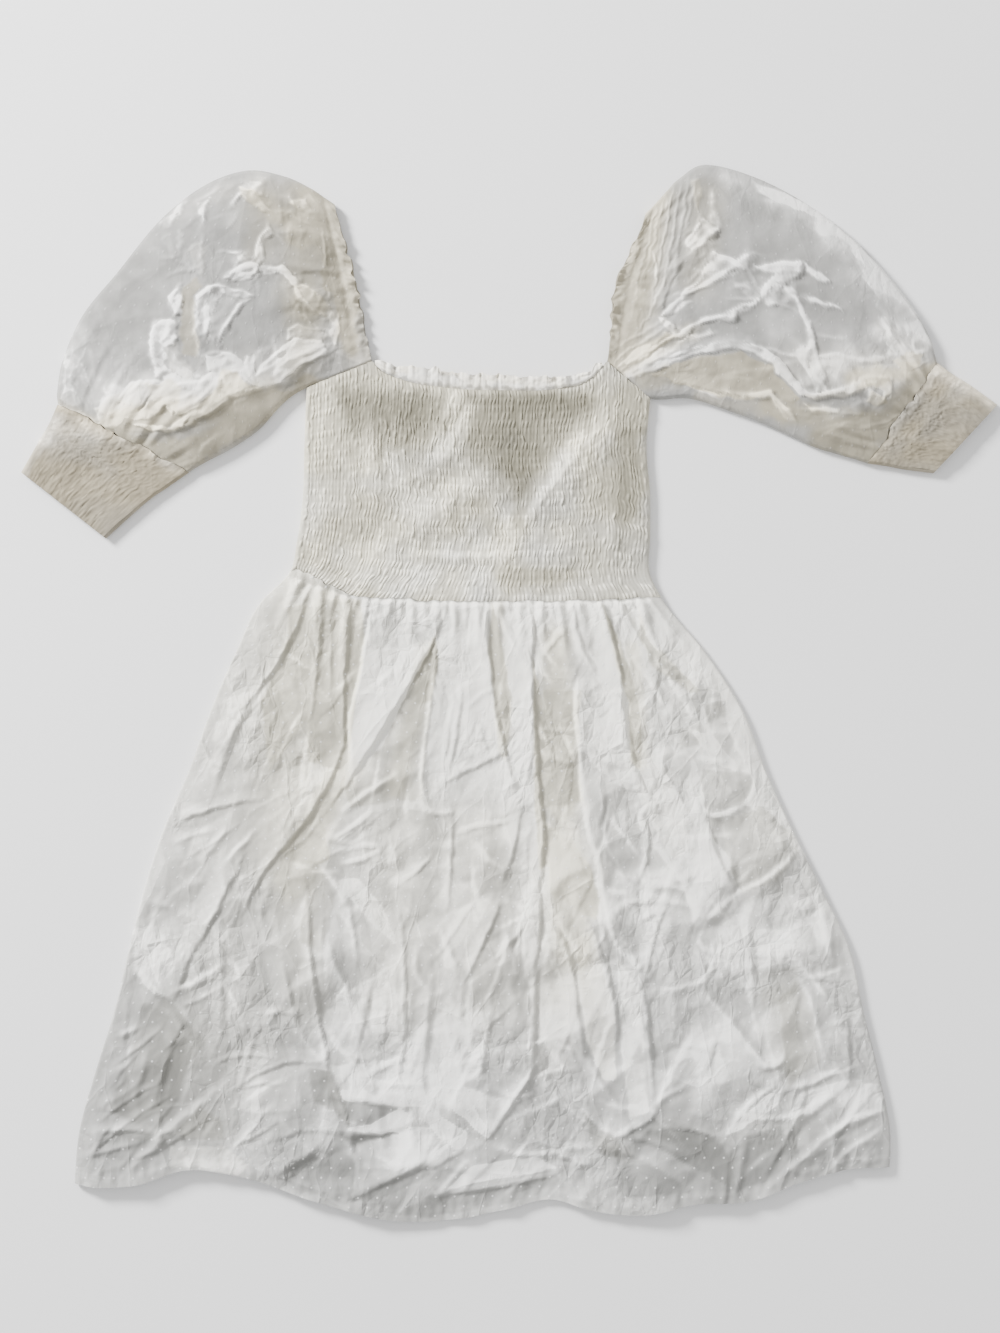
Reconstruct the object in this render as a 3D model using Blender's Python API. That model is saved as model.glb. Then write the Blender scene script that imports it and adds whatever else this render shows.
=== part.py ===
"""A peasant dress in dotted cotton, laid flat on its back.

Across the dress is X, towards the neck is +Y and off the surface is +Z. Tables and sizes are in
millimetres. Each piece is a cloth wall between an outer and an inner sheet of points.
"""
import math

import bmesh
import bpy
import numpy as np

MM = 0.001

# Cloth walls and seams
COTTON_WALL = 1.5
SMOCKED_WALL = 1.8
SEAM_GAP = 0.3
SKIRT_FOLD_RADIUS = 2.1
BODICE_FOLD_RADIUS = 2.4
SLEEVE_FOLD_RADIUS = 2.6
CUFF_FOLD_RADIUS = 2.6

# The dress is turned a little on its back, so its left side seam lies on top
LEFT_SEAM_INSET = 32.0
RIGHT_SEAM_INSET = 32.0

# Outline of the body, from the underarm to the hem
BODY_COLUMNS = ("y", "left", "right")
BODY_SECTIONS = (
    (262.0, -173.0, 123.0),
    (209.0, -175.0, 119.0),
    (171.0, -176.0, 122.0),
    (132.0, -181.0, 122.0),
    (102.0, -189.0, 122.0),
    (80.0, -211.0, 133.0),
    (37.0, -233.0, 168.0),
    (-14.0, -255.0, 201.0),
    (-66.0, -274.0, 221.0),
    (-117.0, -296.0, 244.0),
    (-169.0, -313.0, 270.0),
    (-221.0, -326.0, 294.0),
    (-272.0, -338.0, 305.0),
    (-324.0, -354.0, 318.0),
    (-375.0, -368.0, 328.0),
    (-431.0, -373.0, 326.0),
)

# Lines across the body
LINE_COLUMNS = ("x", "y")
NECK_EDGE = (
    (-117.0, 285.0),
    (-93.0, 282.0),
    (-67.0, 279.0),
    (-48.0, 275.0),
    (0.0, 273.0),
    (28.0, 272.0),
    (62.0, 275.0),
    (85.0, 285.0),
)
NECK_ELASTIC = (
    (-117.0, 285.0),
    (-110.0, 278.0),
    (-93.0, 270.0),
    (-50.0, 262.0),
    (-7.0, 260.0),
    (45.0, 262.0),
    (68.0, 268.0),
    (79.0, 277.0),
    (85.0, 285.0),
)
WAIST_LINE = (
    (-200.0, 106.0),
    (-172.0, 96.0),
    (-140.0, 86.0),
    (-90.0, 81.0),
    (0.0, 79.0),
    (70.0, 80.0),
    (130.0, 83.0),
)
HEM_LINE = (
    (-375.0, -420.0),
    (-355.0, -423.0),
    (-320.0, -421.0),
    (-275.0, -408.0),
    (-235.0, -413.0),
    (-166.0, -435.0),
    (-97.0, -452.0),
    (-46.0, -451.0),
    (0.0, -442.0),
    (36.0, -434.0),
    (75.0, -444.0),
    (115.0, -447.0),
    (160.0, -438.0),
    (212.0, -434.0),
    (250.0, -419.0),
    (290.0, -408.0),
    (328.0, -406.0),
)
WAIST_LEVEL = 82.0
HEM_LEVEL = -431.0
UNDERARM_LEVEL = 262.0
HEM_TURN = 9.0
HEM_EXTRA = 0.5
BACK_NECK_DROP = 1.5

# Where the sleeves are sewn to the bodice: the neck corner and the underarm
ARMHOLE_COLUMNS = ("neck_x", "neck_y", "arm_x", "arm_y")
ARMHOLES = (
    (-117.0, 285.0, -176.0, 261.0),
    (85.0, 285.0, 123.0, 253.0),
)

# Smocking
BODICE_RIBS = 66
BODICE_RIB_ROWS = 12
RIB_HIGH = 1.0
RIB_LOW = 0.4
RIB_VALLEY = 0.0
STRIP_RIBS = 8
CUFF_RIBS = 16
CUFF_RIB_ROWS = 5
CUFF_INNER_ROWS = 2
CUFF_INNER_COLUMNS = 4
SMOCK_INNER_COLUMNS = 24
SMOCK_INNER_ROWS = 4
EDGE_TUCK = 0.9

# Neck frill
FRILL_WAVES = 16
FRILL_WAVE_HEIGHT = 1.1
FRILL_START = -113.5
FRILL_END = 81.0
FRILL_LEVEL = 5.0
FRILL_RIPPLE = 0.6
FRILL_LEAST = 1.5
FRILL_SEAM_WAVE = 0.3
FRILL_ROWS = (0.0, 0.45, 1.0)
STEPS_A_WAVE = 4

# Sheets of points, and how the relief calms towards the edges
SKIRT_COLUMNS = 52
SKIRT_ROWS = 17
UNDER_COLUMNS = 3
BACK_COLUMNS = 16
STRIP_COLUMNS = 4
FOLD_STEPS = 4
TUBE_STATIONS = 4.0
EDGE_FADE = 26.0
SKIRT_LOFT = 1.6
CALM_START = 0.72
HEM_RELIEF = 0.45
RIDGE_END = 0.55
GATHER_SPREAD = 0.6

# Gathers below the waist seam
GATHER_COLUMNS = ("x", "lean", "length", "width", "height")
SKIRT_GATHERS = (
    (-178.0, -30.0, 66.0, 5.0, 1.9),
    (-160.0, -14.0, 85.0, 5.5, 2.2),
    (-139.0, -6.0, 120.0, 6.0, 2.6),
    (-120.0, -12.0, 60.0, 5.0, 2.2),
    (-100.0, -9.0, 48.0, 5.5, 2.5),
    (-82.0, -2.0, 64.0, 5.0, 2.2),
    (-62.0, 0.0, 40.0, 5.5, 2.7),
    (-45.0, -3.0, 72.0, 5.5, 2.3),
    (-26.0, 1.0, 56.0, 5.0, 2.6),
    (-9.0, 3.0, 84.0, 5.5, 2.1),
    (9.0, 4.0, 60.0, 5.5, 2.8),
    (28.0, 4.0, 46.0, 5.0, 2.2),
    (44.0, 9.0, 78.0, 5.5, 2.6),
    (61.0, 8.0, 52.0, 5.0, 2.3),
    (78.0, 16.0, 66.0, 5.5, 2.7),
    (94.0, 17.0, 48.0, 5.0, 2.2),
    (111.0, 26.0, 70.0, 5.0, 2.4),
)

# Large folds: a straight ridge from one end to the other, or a trough below zero
FOLD_COLUMNS = ("x0", "y0", "x1", "y1", "width", "height")
SKIRT_FOLDS = (
    (10.0, 62.0, 15.0, -60.0, 9.0, 3.6),
    (15.0, -50.0, 17.0, -215.0, 10.0, 3.8),
    (17.0, -205.0, 6.0, -335.0, 11.0, 3.2),
    (52.0, 66.0, 58.0, -60.0, 9.0, 3.2),
    (58.0, -48.0, 76.0, -195.0, 10.0, 3.8),
    (75.0, -180.0, 120.0, -356.0, 13.0, 3.4),
    (-62.0, 50.0, -138.0, -82.0, 13.0, 4.0),
    (-58.0, 48.0, -70.0, -92.0, 10.0, 3.2),
    (-122.0, 50.0, -140.0, -70.0, 9.0, 2.4),
    (-141.0, -5.0, -196.0, -140.0, 12.0, 3.4),
    (79.0, 72.0, 106.0, -30.0, 10.0, 3.2),
    (104.0, -20.0, 124.0, -120.0, 11.0, 2.8),
    (113.0, 70.0, 158.0, 4.0, 12.0, 2.8),
    (158.0, 10.0, 196.0, -110.0, 14.0, 2.8),
    (-178.0, 72.0, -222.0, -4.0, 11.0, 2.6),
    (-222.0, 4.0, -262.0, -120.0, 14.0, 2.6),
    (-228.0, -148.0, -268.0, -236.0, 15.0, 3.0),
    (-171.0, -170.0, -157.0, -318.0, 13.0, 3.8),
    (-157.0, -318.0, -246.0, -342.0, 18.0, 3.4),
    (-158.0, -330.0, -140.0, -400.0, 13.0, 2.8),
    (-250.0, -372.0, -170.0, -398.0, 18.0, 2.4),
    (-330.0, -236.0, -262.0, -296.0, 17.0, 3.2),
    (-110.0, -150.0, -86.0, -300.0, 13.0, 2.8),
    (-40.0, -130.0, -30.0, -330.0, 13.0, 3.0),
    (-44.0, -418.0, 40.0, -404.0, 18.0, 2.4),
    (122.0, -356.0, 196.0, -416.0, 16.0, 3.2),
    (166.0, -250.0, 224.0, -326.0, 15.0, 3.4),
    (238.0, -330.0, 180.0, -390.0, 15.0, 3.0),
    (318.0, -352.0, 236.0, -400.0, 17.0, 2.8),
    (214.0, -150.0, 244.0, -280.0, 14.0, 2.8),
    (130.0, -190.0, 160.0, -300.0, 13.0, 2.6),
)

# Sleeve sections from the neck edge to the cuff: the two folded edges and the rise between them
SLEEVE_COLUMNS = ("top_x", "top_y", "low_x", "low_y", "rise", "gather")
LEFT_SLEEVE = (
    (-149.0, 420.0, -117.0, 285.0, 0.3, 0.8),
    (-158.0, 426.0, -127.0, 280.9, 0.6, 0.4),
    (-170.0, 434.0, -146.0, 273.2, 4.5, 1.8),
    (-192.0, 444.0, -176.0, 261.0, 9.5, 1.0),
    (-224.0, 449.0, -194.0, 248.0, 14.0, 0.3),
    (-261.0, 436.0, -212.0, 228.0, 17.0, 0.0),
    (-299.0, 406.0, -228.0, 216.0, 17.5, 0.0),
    (-335.0, 362.0, -243.0, 207.0, 16.0, 0.0),
    (-365.0, 325.0, -255.0, 201.0, 12.5, 0.4),
    (-382.0, 287.0, -264.0, 196.0, 7.0, 1.6),
    (-387.0, 260.0, -270.0, 192.5, 2.0, 1.4),
    (-386.5, 248.7, -273.5, 190.2, 0.4, 0.7),
)
RIGHT_SLEEVE = (
    (118.0, 412.0, 85.0, 285.0, 0.3, 0.8),
    (126.0, 420.0, 92.0, 279.1, 0.6, 0.4),
    (136.0, 431.0, 104.0, 269.0, 4.5, 1.8),
    (147.0, 442.0, 123.0, 253.0, 9.5, 1.0),
    (170.0, 454.0, 156.0, 253.0, 14.0, 0.3),
    (215.0, 442.0, 191.0, 242.0, 17.0, 0.0),
    (263.0, 416.0, 218.0, 232.0, 17.5, 0.0),
    (304.0, 383.0, 242.0, 221.0, 16.0, 0.0),
    (341.0, 340.0, 264.0, 211.0, 12.5, 0.4),
    (361.0, 308.0, 284.0, 205.0, 7.0, 1.6),
    (366.0, 292.0, 299.0, 200.5, 2.0, 1.4),
    (368.2, 284.1, 308.0, 197.6, 0.4, 0.7),
)
NECK_GATHERS = 14
SLEEVE_TOP_COLUMNS = 2 * NECK_GATHERS
SLEEVE_UNDER_COLUMNS = 5
PLAIN_SECTIONS = 4
SLEEVE_PUFF_ROWS = 10
LEFT_NECK_BOW = 3.0
RIGHT_NECK_BOW = 10.0
BOW_SECTIONS = 2
FRONT_SET_BACK = 14.0
DOME_POWER = 0.8
FULL_FOLD_RISE = 12.0

LEFT_SLEEVE_FOLDS = (
    (-322.0, 232.0, -292.0, 224.0, 8.0, 2.6),
    (-294.0, 222.0, -236.0, 264.0, 10.0, 3.6),
    (-240.0, 262.0, -176.0, 297.0, 10.0, 3.4),
    (-306.0, 350.0, -280.0, 260.0, 11.0, 3.0),
    (-268.0, 337.0, -212.0, 366.0, 11.0, 2.8),
    (-282.0, 272.0, -228.0, 280.0, 9.0, 2.6),
    (-224.0, 300.0, -154.0, 322.0, 10.0, 2.8),
    (-250.0, 410.0, -214.0, 372.0, 13.0, 2.2),
    (-340.0, 320.0, -316.0, 266.0, 12.0, 2.2),
)
RIGHT_SLEEVE_FOLDS = (
    (218.0, 338.0, 176.0, 378.0, 10.0, 3.2),
    (218.0, 338.0, 280.0, 352.0, 10.0, 2.8),
    (216.0, 336.0, 158.0, 306.0, 10.0, 2.8),
    (100.0, 278.0, 166.0, 299.0, 9.0, 3.0),
    (164.0, 298.0, 226.0, 280.0, 10.0, 3.6),
    (222.0, 280.0, 262.0, 256.0, 10.0, 3.2),
    (158.0, 282.0, 230.0, 254.0, 8.0, 2.4),
    (200.0, 424.0, 296.0, 372.0, 12.0, 2.2),
    (320.0, 340.0, 268.0, 300.0, 12.0, 2.2),
)

# Cuff sections from the seam to the open end
CUFF_COLUMNS = ("top_x", "top_y", "low_x", "low_y")
LEFT_CUFF = (
    (-386.7, 248.3, -273.7, 189.8),
    (-394.0, 232.0, -292.0, 177.0),
    (-402.5, 217.0, -310.5, 164.0),
    (-418.0, 190.0, -345.0, 133.0),
)
RIGHT_CUFF = (
    (368.6, 283.9, 308.4, 197.4),
    (382.0, 274.0, 325.0, 195.0),
    (395.0, 266.0, 341.0, 192.0),
    (420.0, 248.0, 365.0, 189.0),
)

# Cloth colours
SKIRT_COLOUR = (0.78, 0.78, 0.75, 1.0)
BODICE_COLOUR = (0.66, 0.63, 0.56, 1.0)
SLEEVE_COLOUR = (0.74, 0.74, 0.72, 1.0)
CUFF_COLOUR = (0.55, 0.50, 0.42, 1.0)
FRILL_COLOUR = (0.82, 0.80, 0.75, 1.0)
COTTON_ROUGHNESS = 0.85


def column(table, names, name):
    """One named column of a table."""
    place = names.index(name)
    return np.array([row[place] for row in table])


def smooth_line(knots, values, at):
    """A smooth curve through the knots, read at the places asked for."""
    slopes = np.gradient(values, knots)
    at = np.clip(at, knots[0], knots[-1])
    cell = np.clip(np.searchsorted(knots, at, side="right") - 1, 0, len(knots) - 2)
    span = knots[cell + 1] - knots[cell]
    t = (at - knots[cell]) / span
    start = values[cell] * (1 + 2 * t) + slopes[cell] * span * t
    end = values[cell + 1] * (3 - 2 * t) - slopes[cell + 1] * span * (1 - t)
    return start * (1 - t) ** 2 + end * t ** 2


def line_at(table, x):
    """The height of a line across the body at each x."""
    return smooth_line(column(table, LINE_COLUMNS, "x"), column(table, LINE_COLUMNS, "y"), x)


def soft_step(t):
    """Nought to one, slow at both ends."""
    t = np.clip(t, 0.0, 1.0)
    return t * t * (3 - 2 * t)


def body_sides(y):
    """The left and right folds of the body at a level."""
    levels = column(BODY_SECTIONS, BODY_COLUMNS, "y")[::-1]
    left = column(BODY_SECTIONS, BODY_COLUMNS, "left")[::-1]
    right = column(BODY_SECTIONS, BODY_COLUMNS, "right")[::-1]
    return smooth_line(levels, left, y), smooth_line(levels, right, y)


def seam_shift(line, x):
    """How far along Y an edge stands off a seam line, for half the seam gap square to it."""
    reach = 1.0
    slope = (line(x + reach) - line(x - reach)) / (2 * reach)
    return SEAM_GAP / 2 * np.hypot(1.0, slope)


def armhole_line(x):
    """The straight seams that carry the sleeves, left and right of the neck."""
    (left_x, left_y, left_arm_x, left_arm_y), (right_x, right_y, right_arm_x, right_arm_y) = ARMHOLES
    left_slope = (left_y - left_arm_y) / (left_x - left_arm_x)
    right_slope = (right_y - right_arm_y) / (right_x - right_arm_x)
    on_left = left_y + (x - left_x) * left_slope
    on_right = right_y + (x - right_x) * right_slope
    return np.where(x < 0, on_left, on_right)


def neck_span(x):
    """True between the two neck corners."""
    corners = column(ARMHOLES, ARMHOLE_COLUMNS, "neck_x")
    return (x > corners[0]) & (x < corners[1])


def bodice_top(x):
    """The top edge of the smocked front: armhole seams and the elastic line below the frill."""
    return np.where(neck_span(x), line_at(NECK_ELASTIC, x), armhole_line(x))


def back_top(x):
    """The top edge of the back, just below the front's neck edge."""
    return np.where(neck_span(x), line_at(NECK_EDGE, x) - BACK_NECK_DROP, armhole_line(x))


def waist_line(x):
    """The waist seam."""
    return line_at(WAIST_LINE, x)


def ridges(table, x, y):
    """The sum of straight soft ridges and troughs."""
    height = np.zeros_like(x)
    for x0, y0, x1, y1, width, peak in table:
        along_x = x1 - x0
        along_y = y1 - y0
        length = math.hypot(along_x, along_y)
        t = ((x - x0) * along_x + (y - y0) * along_y) / length ** 2
        off = ((y - y0) * along_x - (x - x0) * along_y) / length
        beyond = np.maximum(np.abs(t - 0.5) - 0.5, 0.0) * length
        taper = RIDGE_END + (1.0 - RIDGE_END) * np.sin(math.pi * np.clip(t, 0.0, 1.0))
        height += peak * taper * np.exp(-(off ** 2 + beyond ** 2) / width ** 2)
    return height


def gathers(x, y):
    """The gathers hanging from the waist seam, each with its own lean and length."""
    height = np.zeros_like(x)
    for x0, lean, length, width, peak in SKIRT_GATHERS:
        down = np.clip((waist_line(np.full_like(x, x0)) - y) / length, 0.0, 1.0)
        off = x - x0 - lean * down
        spread = width * (1.0 + GATHER_SPREAD * down)
        height += peak * (1.0 - soft_step(down)) * np.exp(-(off / spread) ** 2)
    return height


def skirt_relief(x, y):
    """How far the top of the skirt stands above its side folds."""
    left, right = body_sides(y)
    fade = soft_step((x - left) / EDGE_FADE) * soft_step((right - x) / EDGE_FADE)
    down = np.clip((WAIST_LEVEL - y) / (WAIST_LEVEL - HEM_LEVEL), 0.0, 1.0)
    loft = SKIRT_LOFT * (1.0 - down)
    calm = 1.0 - (1.0 - HEM_RELIEF) * soft_step((down - CALM_START) / (1.0 - CALM_START))
    relief = loft + (ridges(SKIRT_FOLDS, x, y) + gathers(x, y)) * calm
    hem_edge = line_at(HEM_LINE, x)
    turn = HEM_EXTRA * (y < hem_edge + HEM_TURN + SEAM_GAP)
    return np.maximum(relief, 0.0) * fade + turn


def skirt_place(x, level):
    """Y on the skirt for a nominal level, between the waist seam and the hem."""
    down = (WAIST_LEVEL - level) / (WAIST_LEVEL - HEM_LEVEL)
    waist_rise = waist_line(x) - seam_shift(waist_line, x) - WAIST_LEVEL
    hem_drop = line_at(HEM_LINE, x) - HEM_LEVEL
    return level + waist_rise * (1.0 - down) ** 2 + hem_drop * down ** 3


def bodice_place(x, down, top_edge):
    """Y on the bodice, from its top edge to the waist seam."""
    top = top_edge(x) - seam_shift(top_edge, x)
    waist = waist_line(x) + seam_shift(waist_line, x)
    return top + (waist - top) * down


def turned_row(side, left, right, radius, top_count, under_count, fold_steps):
    """X, Z and stations of one row that lies on top, turns round one side and runs back under."""
    under = right - RIGHT_SEAM_INSET + side * SEAM_GAP / 2
    if side > 0:
        seam = left + LEFT_SEAM_INSET + SEAM_GAP / 2
        fold = right - radius
    else:
        seam = left + LEFT_SEAM_INSET - SEAM_GAP / 2
        fold = left + radius
    angles = np.linspace(math.pi / 2, -math.pi / 2, fold_steps + 1)[1:-1]
    top_x = np.linspace(seam, fold, top_count + 1)
    arc_x = fold + side * radius * np.cos(angles)
    under_x = np.linspace(fold, under, under_count + 1)
    x = np.concatenate([top_x, arc_x, under_x])
    z = np.concatenate([np.full(len(top_x), 2 * radius), radius + radius * np.sin(angles),
                        np.zeros(len(under_x))])
    stations = np.concatenate([np.linspace(0, 1, len(top_x)),
                               np.linspace(1, 2, fold_steps + 1)[1:-1],
                               np.linspace(2, 3, len(under_x))])
    return x, z, stations


def wall_inside(sheet, thickness, closed=False):
    """The sheet's points moved inwards by the wall, square to the cloth."""
    if closed:
        across = np.roll(sheet, -1, axis=1) - np.roll(sheet, 1, axis=1)
    else:
        across = np.gradient(sheet, axis=1)
        across[:, [0, -1], 2] = 0.0
    along = np.gradient(sheet, axis=0)
    along[[0, -1], :, 2] = 0.0
    normal = np.cross(across, along)
    normal /= np.linalg.norm(normal, axis=2, keepdims=True)
    middle = normal[len(sheet) // 2, :, :]
    outward = np.sign(middle[np.argmax(sheet[len(sheet) // 2, :, 2]), 2])
    return sheet - outward * thickness * normal


def stitch(faces, first, first_at, second, second_at):
    """Triangles between two edges, walked together by the stations of their points."""
    i = 0
    j = 0
    while i < len(first) - 1 or j < len(second) - 1:
        if j == len(second) - 1 or (i < len(first) - 1 and first_at[i + 1] <= second_at[j + 1]):
            faces.append((first[i], first[i + 1], second[j]))
            i += 1
        else:
            faces.append((first[i], second[j + 1], second[j]))
            j += 1


def sheet_faces(faces, numbers, closed):
    """Four-sided faces over a sheet of point numbers."""
    rows, columns = numbers.shape
    for row in range(rows - 1):
        for place in range(columns if closed else columns - 1):
            beside = (place + 1) % columns
            faces.append((numbers[row, place], numbers[row, beside],
                          numbers[row + 1, beside], numbers[row + 1, place]))


def build_wall(name, outer, inner, colour, closed=False):
    """One closed solid between two sheets, each given as points, row stations, column stations."""
    outer_points, outer_rows, outer_columns = outer
    inner_points, inner_rows, inner_columns = inner
    outer_count = outer_points.shape[0] * outer_points.shape[1]
    outer_numbers = np.arange(outer_count).reshape(outer_points.shape[:2])
    inner_numbers = outer_count + np.arange(inner_points.shape[0] * inner_points.shape[1])
    inner_numbers = inner_numbers.reshape(inner_points.shape[:2])
    faces = []
    sheet_faces(faces, outer_numbers, closed)
    sheet_faces(faces, inner_numbers, closed)
    for end in (0, -1):
        first = list(outer_numbers[end])
        first_at = list(outer_columns)
        second = list(inner_numbers[end])
        second_at = list(inner_columns)
        if closed:
            first.append(first[0])
            first_at.append(TUBE_STATIONS)
            second.append(second[0])
            second_at.append(TUBE_STATIONS)
        stitch(faces, first, first_at, second, second_at)
        if not closed:
            stitch(faces, list(outer_numbers[:, end]), outer_rows,
                   list(inner_numbers[:, end]), inner_rows)
    points = np.concatenate([outer_points.reshape(-1, 3), inner_points.reshape(-1, 3)])
    mesh = bpy.data.meshes.new(name)
    mesh.from_pydata((points * MM).tolist(), [], [tuple(int(n) for n in face) for face in faces])
    shape = bmesh.new()
    shape.from_mesh(mesh)
    bmesh.ops.triangulate(shape, faces=shape.faces)
    bmesh.ops.recalc_face_normals(shape, faces=shape.faces)
    shape.to_mesh(mesh)
    shape.free()
    solid = bpy.data.objects.new(name, mesh)
    bpy.context.scene.collection.objects.link(solid)
    mesh.materials.append(cotton(name + " cotton", colour))
    return solid


def cotton(name, colour):
    """A plain matt cotton."""
    material = bpy.data.materials.new(name)
    material.use_nodes = True
    shader = material.node_tree.nodes["Principled BSDF"]
    shader.inputs["Base Color"].default_value = colour
    shader.inputs["Roughness"].default_value = COTTON_ROUGHNESS
    return material


def skirt_sheet(side, top_count, under_count):
    """Outer points of the skirt's front (side 1) or back (side -1)."""
    levels = np.linspace(WAIST_LEVEL, HEM_LEVEL, SKIRT_ROWS + 1)
    turn_level = HEM_LEVEL + HEM_TURN
    levels = np.sort(np.append(levels, [turn_level, turn_level + SEAM_GAP * 2]))[::-1]
    rows = []
    for level in levels:
        left, right = body_sides(level)
        x, z, stations = turned_row(side, left, right, SKIRT_FOLD_RADIUS, top_count, under_count,
                                    FOLD_STEPS)
        y = skirt_place(x, level)
        on_top = stations < 1
        z = z + np.where(on_top, skirt_relief(x, y), 0.0)
        rows.append(np.stack([x, y, z], axis=1))
    return np.array(rows), levels, stations


def build_skirt():
    """The gathered skirt: a front with its folds and a back that rests on the surface."""
    for name, side, top_count, under_count in (
            ("skirt_front", 1, SKIRT_COLUMNS, UNDER_COLUMNS),
            ("skirt_back", -1, STRIP_COLUMNS, BACK_COLUMNS)):
        outer, levels, stations = skirt_sheet(side, top_count, under_count)
        inner = wall_inside(outer, COTTON_WALL)
        rows_at = np.arange(len(levels))
        build_wall(name, (outer, rows_at, stations), (inner, rows_at, stations), SKIRT_COLOUR)


def rib_height(row, place, rib_columns):
    """Smocking: a rib on every second column, high and low by turns."""
    if place % 2 == 0 or place >= rib_columns:
        return RIB_VALLEY
    if (place // 2 + row) % 2 == 0:
        return RIB_HIGH
    return RIB_LOW


def bodice_sheet(side, row_count, top_count, under_count, top_edge, tuck):
    """Outer points of the bodice's front (side 1) or back (side -1), without its ribs."""
    rows = []
    shares = np.linspace(0.0, 1.0, row_count + 1)
    for share in shares:
        level = UNDERARM_LEVEL + (WAIST_LEVEL - UNDERARM_LEVEL) * share
        left, right = body_sides(level)
        x, z, stations = turned_row(side, left, right, BODICE_FOLD_RADIUS, top_count, under_count,
                                    FOLD_STEPS)
        y = bodice_place(x, share, top_edge)
        y = y - tuck * (1.0 - 2.0 * share)
        rows.append(np.stack([x, y, z], axis=1))
    return np.array(rows), shares, stations


def build_bodice_panel(name, side, rib_count, under_count, inner_top_count, top_edge):
    """A smocked panel: ribs raised on its outer points over a plain inside."""
    outer, rows_at, stations = bodice_sheet(side, BODICE_RIB_ROWS, 2 * rib_count, under_count,
                                            top_edge, 0.0)
    for row in range(outer.shape[0]):
        for place in range(outer.shape[1]):
            outer[row, place, 2] += rib_height(row, place, 2 * rib_count)
    base, inner_rows_at, inner_stations = bodice_sheet(side, SMOCK_INNER_ROWS, inner_top_count,
                                                       under_count, top_edge, EDGE_TUCK)
    inner = wall_inside(base, SMOCKED_WALL)
    build_wall(name, (outer, rows_at, stations), (inner, inner_rows_at, inner_stations),
               BODICE_COLOUR)


def build_bodice():
    """The smocked bodice: its front, and a back that turns over the left side."""
    build_bodice_panel("bodice_front", 1, BODICE_RIBS, UNDER_COLUMNS, SMOCK_INNER_COLUMNS,
                       bodice_top)
    build_bodice_panel("bodice_back", -1, STRIP_RIBS, BACK_COLUMNS, STRIP_COLUMNS, back_top)


def build_neck_frill():
    """The frilled edge above the first elastic, in soft waves."""
    steps = STEPS_A_WAVE * FRILL_WAVES
    across = np.linspace(FRILL_START, FRILL_END, steps + 1)
    wave = np.sin(2 * math.pi * FRILL_WAVES * np.linspace(0, 1, steps + 1))
    elastic = line_at(NECK_ELASTIC, across)
    low = elastic + seam_shift(lambda x: line_at(NECK_ELASTIC, x), across)
    high = line_at(NECK_EDGE, across) + FRILL_RIPPLE * wave
    high = np.maximum(high, low + FRILL_LEAST)
    rows = []
    shares = np.array(FRILL_ROWS)
    for share in shares:
        y = low + (high - low) * share
        z = FRILL_LEVEL + wave * FRILL_WAVE_HEIGHT * (FRILL_SEAM_WAVE + (1.0 - FRILL_SEAM_WAVE) * share)
        rows.append(np.stack([across, y, z], axis=1))
    outer = np.array(rows)
    inner = wall_inside(outer, COTTON_WALL)
    stations = np.arange(steps + 1)
    build_wall("neck_frill", (outer, shares, stations), (inner, shares, stations), FRILL_COLOUR)


def tube_row(top, low, radius, top_count, under_count, fold_steps):
    """Distance from the low edge, Z and stations round one flattened tube."""
    width = math.hypot(top[0] - low[0], top[1] - low[1])
    angles = np.linspace(-math.pi / 2, math.pi / 2, fold_steps + 1)[1:-1]
    upper = np.linspace(radius, width - radius, top_count + 1)
    under = np.linspace(width - radius, radius, under_count + 1)
    low_arc = radius - radius * np.cos(angles)
    top_arc = width - radius + radius * np.cos(angles)
    across = np.concatenate([low_arc, upper, top_arc, under])
    z = np.concatenate([radius + radius * np.sin(angles), np.full(len(upper), 2 * radius),
                        radius - radius * np.sin(angles), np.zeros(len(under))])
    arc_stations = np.linspace(0, 1, fold_steps + 1)[1:-1]
    stations = np.concatenate([arc_stations, np.linspace(1, 2, len(upper)), 2 + arc_stations,
                               np.linspace(3, TUBE_STATIONS, len(under) + 1)[:-1]])
    return across, z, stations, width


def tube_points(top, low, across, z, width):
    """The row's points in the frame."""
    share = across / width
    x = low[0] + (top[0] - low[0]) * share
    y = low[1] + (top[1] - low[1]) * share
    return np.stack([x, y, z], axis=1)


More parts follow.
